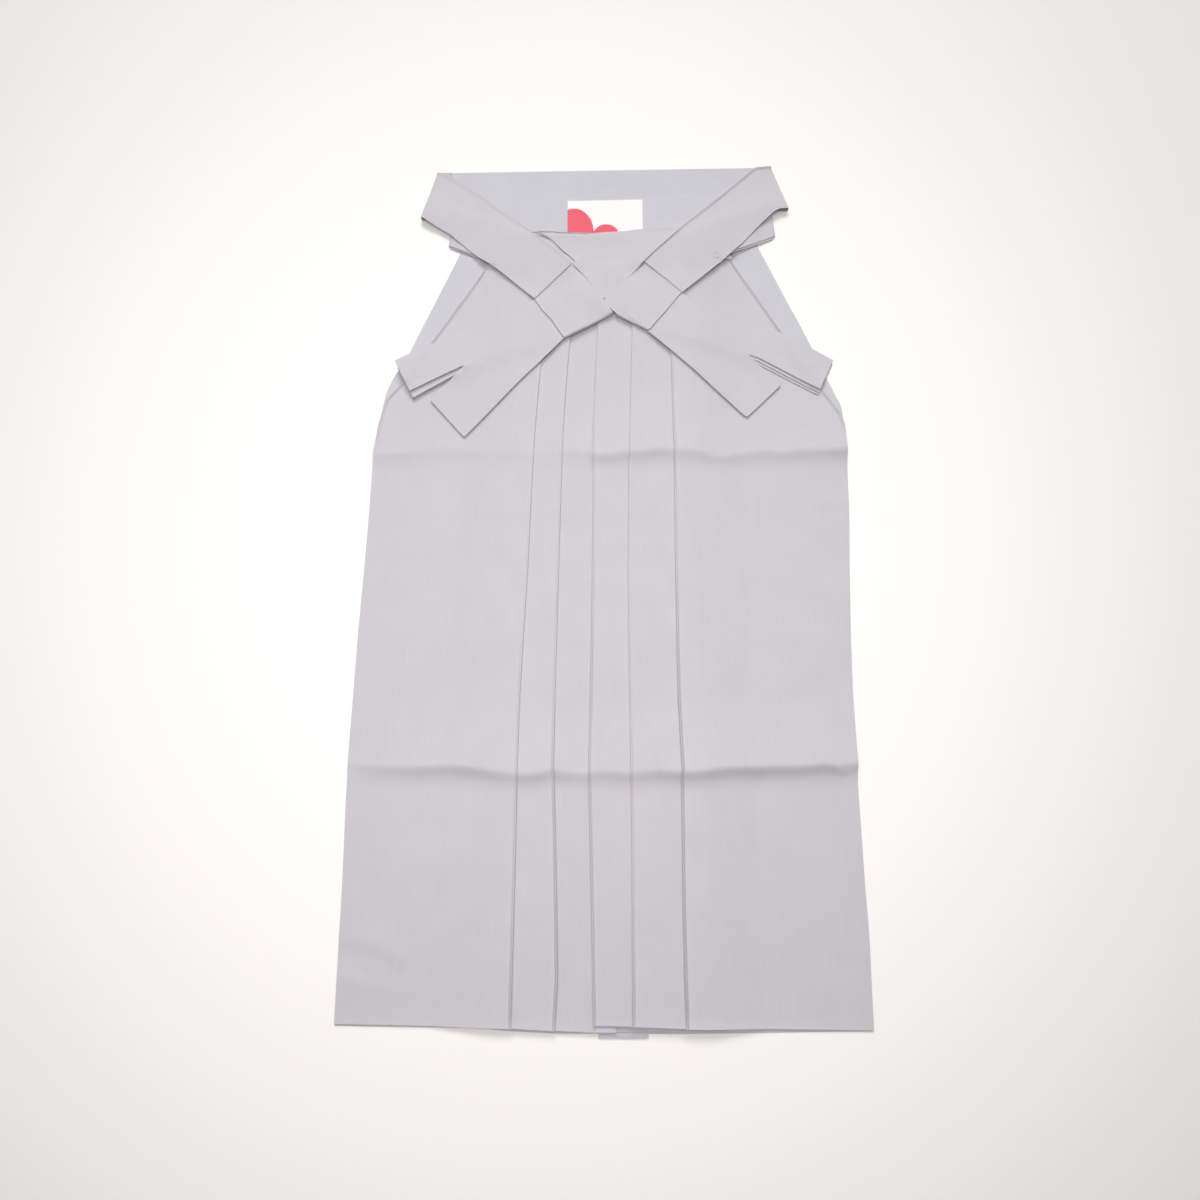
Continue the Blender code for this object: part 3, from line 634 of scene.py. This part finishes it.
def rounded_end(table):
    """A tie's table with the two corners of its first row rounded off."""
    first, second = np.array(table[0], float), np.array(table[1], float)
    way = (second - first) / math.dist(first[:2], second[:2])
    across = (first[2:] - first[:2]) / math.dist(first[:2], first[2:])
    rows = []
    for share, inset in CORNER_POINTS:
        row = first + way * CORNER * share
        row[:2] += across * CORNER * inset * UPPER_CORNER
        row[2:] -= across * CORNER * inset
        rows.append(tuple(row))
    return tuple(rows) + table[1:]


# Laying cloth on cloth ----------

# What has been laid so far: each piece's net as a tree, and half its wall
laid = {}
# The tucked-under edges of the squares, which lie below the front ties and are laid before them
tucks = {}


def remember(name, net, wall):
    """Keeps a net, so that what comes later lies on it."""
    rows, cols = net.shape[:2]
    corner = (np.arange(rows - 1)[:, None] * cols + np.arange(cols - 1)[None, :]).ravel()
    faces = np.stack([corner, corner + 1, corner + cols + 1, corner + cols], axis=1)
    laid[name] = (BVHTree.FromPolygons(net.reshape(-1, 3).tolist(), faces.tolist()), wall / 2)


def evened(height):
    """Each height as the mean of its four neighbours'."""
    wide = np.pad(height, 1, mode="edge")
    return (wide[:-2, 1:-1] + wide[2:, 1:-1] + wide[1:-1, :-2] + wide[1:-1, 2:]) / 4


def lay(net, wall, room=ROOM, skip=()):
    """Lets a flat net with this wall down on all that lies below it, as cloth that bends a little."""
    support = np.full(net.shape[:2], wall / 2)
    below = [held for name, held in laid.items() if name not in skip]
    for i, j in np.ndindex(support.shape):
        above = Vector((net[i, j, 0], net[i, j, 1], HIGH_ABOVE))
        for tree, half in below:
            hit = tree.ray_cast(above, DOWN)[0]
            if hit:
                support[i, j] = max(support[i, j], hit.z + half + wall / 2 + room)
    rows, cols = support.shape
    wide = np.pad(support, 1, mode="edge")
    support = np.max([wide[i:i + rows, j:j + cols] for i in range(3) for j in range(3)], axis=0)
    height = support.copy()
    for _ in range(SAG_PASSES):
        height = np.maximum(support, evened(height) - SAG)
    for _ in range(SOFT_PASSES):
        height = np.maximum(support - room / 2, evened(height))
    net[:, :, 2] = height
    return net


def beside(net, neighbours, wall):
    """Brings a net's narrow end level with the pieces beside it, and over the second of them higher up."""
    level, weight, over = np.zeros((3, *net.shape[:2]))
    for index, name in enumerate(neighbours):
        tree = laid[name][0]
        for i, j in np.ndindex(level.shape):
            x, y, z = net[i, j]
            near = tree.find_nearest(Vector((x, y, z + HEAD_SEARCH)))[0]
            away = math.hypot(near.x - x, near.y - y)
            share = 1 / (away + 1) ** 2
            level[i, j] += share * near.z
            weight[i, j] += share
            if index:
                rise = smooth((y - OVER_Y) / OVER_LENGTH)
                over[i, j] = (wall + ROOM) * math.exp(-(away / OVER_SPREAD) ** 2) * rise
    level = level / weight + over - HEAD_SUNK
    share = smooth((LEVEL_Y - net[:, :, 1]) / LEVEL_LENGTH)
    net[:, :, 2] = np.maximum(net[:, :, 2], net[:, :, 2] * (1 - share) + level * share)
    return net


# Pieces and finishes ----------


def cloth_piece(node, net, wall, finish):
    """The thin cloth that stands for a node, from its net, with its warp along the net's rows."""
    name = node + "_cloth"
    remember(name, net, wall / MM)
    rows, cols = net.shape[:2]
    grid = bmesh.new()
    bmesh.ops.create_grid(grid, x_segments=cols - 1, y_segments=rows - 1, size=1)
    grid.verts.ensure_lookup_table()
    across = np.concatenate([[0], np.cumsum(np.linalg.norm(np.diff(net, axis=1), axis=2).mean(axis=0))])
    along_warp = np.concatenate([[0], np.cumsum(np.linalg.norm(np.diff(net, axis=0), axis=2).mean(axis=1))])
    for vertex in grid.verts:
        i, j = divmod(vertex.index, cols)
        x, y, z = net[i, j]
        vertex.co = ((x + SHIFT[0]) * MM, (y + SHIFT[1]) * MM, z * MM)
    uv = grid.loops.layers.uv.new("Cut")
    for face in grid.faces:
        face.smooth = True
        for loop in face.loops:
            i, j = divmod(loop.vert.index, cols)
            loop[uv].uv = (across[j] * MM, along_warp[i] * MM)
    if sum(face.normal.z * face.calc_area() for face in grid.faces) < 0:
        bmesh.ops.reverse_faces(grid, faces=grid.faces)
    mesh = bpy.data.meshes.new(name)
    grid.to_mesh(mesh)
    grid.free()
    mesh.materials.append(finish)
    piece = bpy.data.objects.new(name, mesh)
    bpy.context.collection.objects.link(piece)
    thicken = piece.modifiers.new("Wall", "SOLIDIFY")
    thicken.thickness = wall
    thicken.offset = 0
    thicken.use_even_offset = True
    edge = piece.modifiers.new("Soft edge", "BEVEL")
    edge.width = wall * RIM
    edge.segments = RIM_SEGMENTS
    edge.limit_method = "ANGLE"
    edge.angle_limit = RIM_ANGLE
    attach(piece, "root")
    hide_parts(node)
    return piece


# How the weave looks: noise scale across and along the warp, its place, scale, detail and share in the tone
SLUBS, FINE_SLUBS, MOTTLE = (900, 22, 0, 1, 2, 0.5), (2200, 60, 4, 1, 1, 0.25), (1, 1, 2, 22, 3, 0.45)
# How much lighter and darker the tone gets, and between which noise values
TONE, TONE_LOW, TONE_HIGH = 0.045, 0.35, 0.85
# A wave texture of scale 1 turns by this many radians a metre
WAVE_UNIT, WAVE_DISTORTION = 20, 0.4
THREAD_RELIEF, SLUB_RELIEF, BUMP_STRENGTH, BUMP_HEIGHT = 0.35, 0.8, 0.35, 0.1
SHEEN_ROUGHNESS, CLOTH_SPECULAR = 0.45, 0.25
# Sockets of the colour mix node that share their names with others of it
MIX_FACTOR, MIX_A, MIX_B, MIX_COLOUR = 0, 6, 7, 2


def node_of(tree, kind, **values):
    """A new shader node with these values."""
    made = tree.nodes.new(kind)
    for name, value in values.items():
        setattr(made, name, value)
    return made


def math_of(tree, operation, *values):
    """The result of a math node on numbers or sockets."""
    made = node_of(tree, "ShaderNodeMath", operation=operation)
    for socket, value in zip(made.inputs, values):
        if isinstance(value, (int, float)):
            socket.default_value = value
        else:
            tree.links.new(value, socket)
    return made.outputs[0]


def noise_of(tree, place, across, along_warp, at, scale, detail):
    """Noise on the cloth's own map, stretched along the warp."""
    mapping = node_of(tree, "ShaderNodeMapping")
    mapping.inputs["Scale"].default_value = (across, along_warp, 1)
    mapping.inputs["Location"].default_value = (0, 0, at)
    tree.links.new(place, mapping.inputs["Vector"])
    made = node_of(tree, "ShaderNodeTexNoise")
    made.inputs["Scale"].default_value = scale
    made.inputs["Detail"].default_value = detail
    tree.links.new(mapping.outputs["Vector"], made.inputs["Vector"])
    return made.outputs["Fac"]


def threads_of(tree, place, direction, pitch):
    """The ribs of the threads that lie side by side in one direction."""
    made = node_of(tree, "ShaderNodeTexWave", wave_type="BANDS", bands_direction=direction)
    made.inputs["Scale"].default_value = math.tau / pitch / WAVE_UNIT
    made.inputs["Distortion"].default_value = WAVE_DISTORTION
    tree.links.new(place, made.inputs["Vector"])
    return made.outputs["Fac"]


def weave(name, colour, pitch, streaks=1.0, sheen=0.25, roughness=0.78):
    """Plain woven cloth: threads, slubs along the warp, soft mottling and a little sheen."""
    finish = bpy.data.materials.new(name)
    finish.use_nodes = True
    tree = finish.node_tree
    shader = tree.nodes["Principled BSDF"]
    shader.inputs["Roughness"].default_value = roughness
    shader.inputs["Sheen Weight"].default_value = sheen
    shader.inputs["Sheen Roughness"].default_value = SHEEN_ROUGHNESS
    shader.inputs["Specular IOR Level"].default_value = CLOTH_SPECULAR
    place = node_of(tree, "ShaderNodeUVMap", uv_map="Cut").outputs["UV"]

    slubs, fine, mottle = [noise_of(tree, place, *pattern[:5]) for pattern in (SLUBS, FINE_SLUBS, MOTTLE)]
    slub_tone = math_of(tree, "MULTIPLY", slubs, SLUBS[5] * streaks)
    fine_tone = math_of(tree, "MULTIPLY", fine, FINE_SLUBS[5] * streaks)
    mottle_tone = math_of(tree, "MULTIPLY", mottle, MOTTLE[5])
    amount = math_of(tree, "ADD", math_of(tree, "ADD", slub_tone, fine_tone), mottle_tone)
    ramp = node_of(tree, "ShaderNodeValToRGB")
    low, high = ramp.color_ramp.elements
    low.position, high.position = TONE_LOW, TONE_HIGH
    low.color = [part * (1 - TONE) for part in colour] + [1]
    high.color = [part * (1 + TONE) for part in colour] + [1]
    tree.links.new(amount, ramp.inputs["Fac"])
    tree.links.new(ramp.outputs["Color"], shader.inputs["Base Color"])

    warp, weft = [threads_of(tree, place, direction, pitch) for direction in ("X", "Y")]
    threads = math_of(tree, "MULTIPLY", math_of(tree, "ADD", warp, weft), THREAD_RELIEF)
    relief = math_of(tree, "ADD", threads, math_of(tree, "MULTIPLY", slubs, SLUB_RELIEF))
    bump = node_of(tree, "ShaderNodeBump")
    bump.inputs["Strength"].default_value = BUMP_STRENGTH
    bump.inputs["Distance"].default_value = BUMP_HEIGHT * MM
    tree.links.new(relief, bump.inputs["Height"])
    tree.links.new(bump.outputs["Normal"], shader.inputs["Normal"])
    return finish


def label_cloth(label):
    """White satin-woven label with two plain red rounds at its left and its foot."""
    finish = weave("Label cloth", label.ground, LABEL_PITCH * MM, streaks=0.3, sheen=0.1, roughness=0.5)
    tree = finish.node_tree
    shader = tree.nodes["Principled BSDF"]
    ground = shader.inputs["Base Color"].links[0].from_socket
    place = node_of(tree, "ShaderNodeUVMap", uv_map="Cut")
    split = node_of(tree, "ShaderNodeSeparateXYZ")
    tree.links.new(place.outputs["UV"], split.inputs[0])
    rounds = []
    for middle_x, middle_y, half_x, half_y in LABEL_ROUNDS:
        squares = []
        for axis, middle, half in (("X", middle_x, half_x), ("Y", middle_y, half_y)):
            off = math_of(tree, "SUBTRACT", split.outputs[axis], middle * MM)
            share = math_of(tree, "DIVIDE", off, half * MM)
            squares.append(math_of(tree, "MULTIPLY", share, share))
        rounds.append(math_of(tree, "LESS_THAN", math_of(tree, "ADD", *squares), 1.0))
    mix = node_of(tree, "ShaderNodeMix", data_type="RGBA")
    tree.links.new(math_of(tree, "MAXIMUM", *rounds), mix.inputs[MIX_FACTOR])
    tree.links.new(ground, mix.inputs[MIX_A])
    mix.inputs[MIX_B].default_value = (*label.motif, 1)
    tree.links.new(mix.outputs[MIX_COLOUR], shader.inputs["Base Color"])


def finishes():
    """The cloth's right side, its wrong side and the label's cloth, made once."""
    if "Hakama cloth" not in bpy.data.materials:
        cloth = bpy.context.scene.hakama_cloth
        weave("Hakama cloth", cloth.colour, cloth.thread)
        weave("Hakama cloth inside", cloth.inside, cloth.thread)
        label_cloth(bpy.context.scene.hakama_label)
    return [bpy.data.materials[name] for name in ("Hakama cloth", "Hakama cloth inside", "Label cloth")]


# Operators ----------


class HAKAMA_OT_back(bpy.types.Operator):
    """The back panel, and the back waistband that it is sewn over"""

    bl_idname = "hakama.back"
    bl_label = "Back and its waistband"

    def execute(self, context):
        inside = finishes()[1]
        (x0, y0), (x1, y1) = BACK_BAND_TOP
        slope = (y1 - y0) / (x1 - x0)
        down = np.linspace(0, 1, BACK_BAND_ROWS)
        over = np.linspace(0, 1, BACK_BAND_COLUMNS)[:, None]
        inset = BAND_TURN + BAND_GAP
        start, end = [upper + (lower - upper) * down + way * inset for upper, lower, way in BAND_FOLDS]
        x = start + (end - start) * over
        y = y0 + slope * (x - x0) - BACK_BAND_WIDTH * down
        band = np.stack([x, y, np.full(x.shape, BACK_Z)], axis=2)
        cloth_piece("back_waistband", band, BACK_WALL * MM, inside)

        crossing = y0 - slope * x0 - BACK_BAND_WIDTH
        low_rows = np.linspace(0, crossing - BACK_TOP, BACK_ROWS)
        top_rows = np.linspace(crossing - BACK_TOP + 1, crossing + BACK_BAND_OVERLAP, BACK_TOP_ROWS)
        ys = np.concatenate([low_rows, top_rows])[:, None]
        x = side_to_side(BACK_SIDES, ys, BACK_COLUMNS)
        tilt = slope * x * smooth((ys - crossing + TILT_START) / TILT_LENGTH)
        y = ys + along(BACK_HEM, x) * hem_fade(ys, BACK_LENGTH) + tilt
        z = BACK_Z + PITCH * smooth((ys - crossing + RISE_START) / RISE_LENGTH) + 0 * x
        panel = np.stack([x, y, z], axis=2)
        cloth_piece("back_panel", panel, BACK_WALL * MM, inside)
        return {"FINISHED"}


class HAKAMA_OT_label(bpy.types.Operator):
    """The plain label sewn inside the back, with a simple red shape"""

    bl_idname = "hakama.label"
    bl_label = "Label"

    def execute(self, context):
        (width, height), (middle, top) = LABEL_SIZE, LABEL_TOP
        rows = np.linspace(0, 1, LABEL_ROWS)[:, None]
        x = middle + width * (np.linspace(0, 1, LABEL_COLUMNS) - 0.5) + 0 * rows
        y = top - height * rows + LABEL_TILT * (x - middle)
        net = lay(np.stack([x, y, 0 * x], axis=2), LABEL_WALL)
        cloth_piece("label", net, LABEL_WALL * MM, finishes()[2])
        return {"FINISHED"}


class HAKAMA_OT_gusset(bpy.types.Operator):
    """The folded strip between the legs, which hangs below the front hem"""

    bl_idname = "hakama.gusset"
    bl_label = "Gusset"

    def execute(self, context):
        over = OUTER_Z + PITCH
        edge = GUSSET_LEFT + FOLD_RADIUS
        low = spaced([(GUSSET_LOWER_RIGHT, OUTER_Z), (edge, OUTER_Z)], (GUSSET_LOWER_STEPS,))[:-1]
        turn = fold_round(GUSSET_LEFT, OUTER_Z, over, -1)
        high = spaced([(edge, over), (GUSSET_UPPER_RIGHT, over)], (GUSSET_UPPER_STEPS,))[1:]
        section = np.array(low + turn + high)
        lower = np.arange(len(section)) < len(low) + GUSSET_FOLD
        hem = np.where(lower, GUSSET_LOWER_HEM, GUSSET_UPPER_HEM)
        ys = np.linspace(0, GUSSET_TOP, GUSSET_ROWS)[:, None]
        y = ys + hem * hem_fade(ys, GUSSET_TOP)
        net = np.stack([section[:, 0] + 0 * y, y, section[:, 1] + 0 * y], axis=2)
        wall = context.scene.hakama_cloth.wall
        cloth_piece("gusset", net, wall, finishes()[0])
        return {"FINISHED"}


class HAKAMA_OT_fronts(bpy.types.Operator):
    """The two front panels with their pleats, storage folds and small creases"""

    bl_idname = "hakama.fronts"
    bl_label = "Front panels"

    def execute(self, context):
        cloth = context.scene.hakama_cloth
        fronts = (("front_left", left_section, LEFT_HEM), ("front_right", right_section, RIGHT_HEM))
        for node, section, hem in fronts:
            cloth_piece(node, front_net(section, hem, cloth), cloth.wall, finishes()[0])
        return {"FINISHED"}


class HAKAMA_OT_front_band(bpy.types.Operator):
    """The front waistband, turned over the panels' top edge"""

    bl_idname = "hakama.front_band"
    bl_label = "Front waistband"

    def execute(self, context):
        cloth = context.scene.hakama_cloth
        lower = np.linspace(FRONT_BAND_NEXT, FRONT_BAND_WIDTH, FRONT_BAND_ROWS)
        down = np.concatenate([FRONT_BAND_EDGE, lower])[:, None]
        x = side_to_side(FRONT_SIDES, FRONT_LENGTH - down, FRONT_BAND_COLUMNS)
        y = along(FRONT_WAIST, x) + PITCH - down
        over = lay(np.stack([x, y, 0 * x], axis=2), cloth.wall / MM)
        slit = smooth((x - SLIT_START) / SLIT_START_FADE) * smooth((SLIT_END - x) / SLIT_END_FADE)
        over[:, :, 2] -= SLIT * slit * np.exp(-((down - SLIT_DOWN) / SLIT_WIDTH) ** 2)
        under = over[0].copy()
        under[:, 2] = PLEAT_Z
        net = np.concatenate([under[None], turned(under, over[0], (0, 1), TURN_BULGE / 2), over])
        cloth_piece("front_waistband", net.transpose(1, 0, 2), cloth.wall, finishes()[0])
        return {"FINISHED"}


class HAKAMA_OT_front_ties(bpy.types.Operator):
    """The two front ties, folded to and fro and crossed over the front, on the squares' tucked edges"""

    bl_idname = "hakama.front_ties"
    bl_label = "Front ties"

    def execute(self, context):
        cloth = context.scene.hakama_cloth
        finish = finishes()[0]
        wall = cloth.tie / MM
        for name in SQUARES:
            table, out = TIES[name], square_edge(TIES[name])
            tuck = [flat_row(table[-1], -out * TUCK * share) for share in np.linspace(1, 0, TUCK_ROWS)]
            tucks[name] = lay(np.array(tuck), wall)
            remember(name + "_tuck", tucks[name], wall)
        for name, way, middle, gap in FRONT_TIES:
            start = lay(tie_net(TIES[name + "_start"]), wall)
            remember(name + "_start", start, wall)
            low = lay(tie_net(TIES[name], 1.0), PLY)
            apart = smooth((np.linspace(0, 1, len(low)) - PART_START) / PART_LENGTH)[:, None]
            low[:, :, 2] += gap / 2 * apart
            high = tie_net(TIES[name], middle)
            high[:, :, 2] = low[:, :, 2] + PLY + PLY_GAP + gap * apart
            for ply in (low, high):
                ply[0, :, 0] -= way * PLY_INSIDE
            end = (low[-1] - low[-2]).mean(axis=0)[:2]
            end /= np.hypot(*end)
            folds = np.concatenate([low, turned(low[-1], high[-1], end, PLY_BULGE), high[::-1]])
            cloth_piece(name + "_folds", folds, PLY * MM, finish)
            top = lay(tie_net(TIES[name]), wall)
            top[:, :, 2] += gap * apart
            net = np.concatenate([start, turned(start[-1], top[0], (way, 0)), top])
            cloth_piece(name + "_top", net, cloth.tie, finish)
        return {"FINISHED"}


class HAKAMA_OT_back_ties(bpy.types.Operator):
    """The two back ties, woven over the front ties: legs, squares, runs and heads"""

    bl_idname = "hakama.back_ties"
    bl_label = "Back ties"

    def execute(self, context):
        self.thickness = context.scene.hakama_cloth.tie
        self.wall = self.thickness / MM
        self.legs()
        self.squares()
        self.runs()
        self.heads()
        return {"FINISHED"}

    def piece(self, node, net, *rests_on):
        """A stretch of tie as cloth; what it rests on is not used."""
        cloth_piece(node, net, self.thickness, finishes()[0])

    def legs(self):
        """The free ends below the knot"""
        for node in ("back_tie_left_leg", "back_tie_right_leg"):
            net = lay(tie_net(rounded_end(TIES[node])), self.wall)
            net[:, :, 2] += LEG_ROOM * smooth((LEG_LEVEL - np.linspace(0, 1, len(net))) / LEG_FADE)[:, None]
            self.piece(node, net, "front_tie_left_top_cloth", "front_tie_right_top_cloth")

    def squares(self):
        """The turns round the crossing, the right one first"""
        for node in reversed(SQUARES):
            out = square_edge(TIES[node])
            top = tie_net(TIES[node])[::-1]
            share = np.clip(1 - np.arange(len(top)) / INSET_ROWS, 0, 1)[:, None, None]
            top[:, :, :2] -= out * INSET * share
            top = lay(top, self.wall)
            top[:, -1, 2] += SQUARE_CURL
            tuck = tucks[node]
            tuck[:, :, :2] -= out * INSET
            net = np.concatenate([tuck, turned(tuck[-1], top[0], out, lean=SQUARE_LEAN), top])
            self.piece(node, net, "front_tie_left_top_cloth", "front_tie_right_top_cloth")

    def runs(self):
        """The stretches from the folded ends of the back waistband down to the knot"""
        for node, way, corner, curl in RUNS:
            fold = flat_row(TIES[node][0])
            fold[:, 2] = self.wall / 2 + SEAM_LIFT
            seam = np.repeat(fold[None], SEAM_ROWS, axis=0)
            seam[:, :, 0] -= way * BAND_TURN * np.linspace(1, 0, SEAM_ROWS)[:, None]
            remember(node + "_seam", seam, self.wall)
            top = lay(tie_net(TIES[node]), self.wall, room=RUN_ROOM)
            top[:, :, 2] += crease_height(top[:, :, 0], top[:, :, 1], TIE_CREASES[node])
            away = np.hypot(top[:, :, 0] - top[0, -1, 0], top[:, :, 1] - top[0, -1, 1])
            top[:, :, 2] += corner * np.exp(-(away / CORNER_SPREAD) ** 2)
            net = np.concatenate([seam, turned(fold, top[0], (way, 0)), top])
            self.piece(node, fine_edges(net, curl), "back_waistband_cloth")

    def heads(self):
        """The bands over the top of the knot, the left one on the right one"""
        right = lay(tie_net(TIES["back_tie_right_head"]), self.wall)
        self.piece("back_tie_right_head", right, "front_waistband_cloth")
        squares = [name + "_cloth" for name in SQUARES]
        left = lay(tie_net(TIES["back_tie_left_head"]), self.wall, skip=squares)
        self.piece("back_tie_left_head", beside(left, squares, self.wall), "front_waistband_cloth")


class HAKAMA_OT_stage(bpy.types.Operator):
    """A plain pale surface, a soft key light, a wide one overhead, light from all round, and the camera"""

    bl_idname = "hakama.stage"
    bl_label = "Stage"

    def execute(self, context):
        scene = context.scene
        stage = scene.hakama_stage
        self.lay_floor(scene, stage)
        key = self.hang("key", scene, KEY_PLACE, KEY_SIZE, stage.key)
        key.data.color = KEY_COLOUR
        key.rotation_euler = (-Vector(KEY_PLACE)).to_track_quat("-Z", "Y").to_euler()
        overhead = self.hang("overhead", scene, OVERHEAD_PLACE, OVERHEAD_SIZE, stage.overhead)
        overhead.data.spread = OVERHEAD_SPREAD

        world = bpy.data.worlds.new("Room")
        world.use_nodes = True
        sky = world.node_tree.nodes["Background"]
        sky.inputs["Color"].default_value = ROOM_COLOUR
        sky.inputs["Strength"].default_value = stage.fill
        scene.world = world
        scene.view_settings.view_transform = "Standard"

        lens = bpy.data.cameras.new("camera")
        lens.lens = CAMERA_FOCUS
        lens.sensor_width = CAMERA_SENSOR
        lens.sensor_fit = "HORIZONTAL"
        camera = bpy.data.objects.new("camera", lens)
        camera.location = CAMERA_PLACE
        camera.rotation_euler = (CAMERA_TILT, 0, 0)
        scene.collection.objects.link(camera)
        scene.camera = camera
        return {"FINISHED"}

    def lay_floor(self, scene, stage):
        """The plain surface that the garment lies on"""
        ground = bmesh.new()
        bmesh.ops.create_grid(ground, x_segments=2, y_segments=2, size=FLOOR_SIZE)
        mesh = bpy.data.meshes.new("floor")
        ground.to_mesh(mesh)
        ground.free()
        floor = bpy.data.objects.new("floor", mesh)
        scene.collection.objects.link(floor)
        pale = bpy.data.materials.new("Pale floor")
        pale.use_nodes = True
        shader = pale.node_tree.nodes["Principled BSDF"]
        shader.inputs["Base Color"].default_value = (*stage.floor, 1)
        shader.inputs["Roughness"].default_value = FLOOR_ROUGHNESS
        shader.inputs["Specular IOR Level"].default_value = FLOOR_SPECULAR
        mesh.materials.append(pale)

    def hang(self, name, scene, place, size, power):
        """A square lamp that points down"""
        light = bpy.data.lights.new(name, "AREA")
        light.size = size
        light.energy = power
        lamp = bpy.data.objects.new(name, light)
        lamp.location = place
        scene.collection.objects.link(lamp)
        return lamp


class HAKAMA_PT_pieces(bpy.types.Panel):
    """Lists the pieces of the hakama"""

    bl_label = "Hakama"
    bl_space_type = "VIEW_3D"
    bl_region_type = "UI"
    bl_category = "Hakama"

    def draw(self, context):
        for group in (context.scene.hakama_cloth, context.scene.hakama_label, context.scene.hakama_stage):
            for name in group.__annotations__:
                self.layout.prop(group, name)
        for operator in OPERATORS:
            self.layout.operator(operator.bl_idname)


GROUPS = {"hakama_cloth": HakamaCloth, "hakama_label": HakamaLabel, "hakama_stage": HakamaStage}
OPERATORS = (
    HAKAMA_OT_back, HAKAMA_OT_label, HAKAMA_OT_gusset, HAKAMA_OT_fronts, HAKAMA_OT_front_band,
    HAKAMA_OT_front_ties, HAKAMA_OT_back_ties, HAKAMA_OT_stage,
)


def register():
    for name, group in GROUPS.items():
        bpy.utils.register_class(group)
        setattr(bpy.types.Scene, name, bpy.props.PointerProperty(type=group))
    for made in (*OPERATORS, HAKAMA_PT_pieces):
        bpy.utils.register_class(made)


def unregister():
    for made in (HAKAMA_PT_pieces, *reversed(OPERATORS)):
        bpy.utils.unregister_class(made)
    for name, group in GROUPS.items():
        delattr(bpy.types.Scene, name)
        bpy.utils.unregister_class(group)


def main():
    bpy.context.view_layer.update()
    register()
    bpy.ops.hakama.back()
    bpy.ops.hakama.label()
    bpy.ops.hakama.gusset()
    bpy.ops.hakama.fronts()
    bpy.ops.hakama.front_band()
    bpy.ops.hakama.front_ties()
    bpy.ops.hakama.back_ties()
    bpy.ops.hakama.stage()


if __name__ == "__main__":
    main()
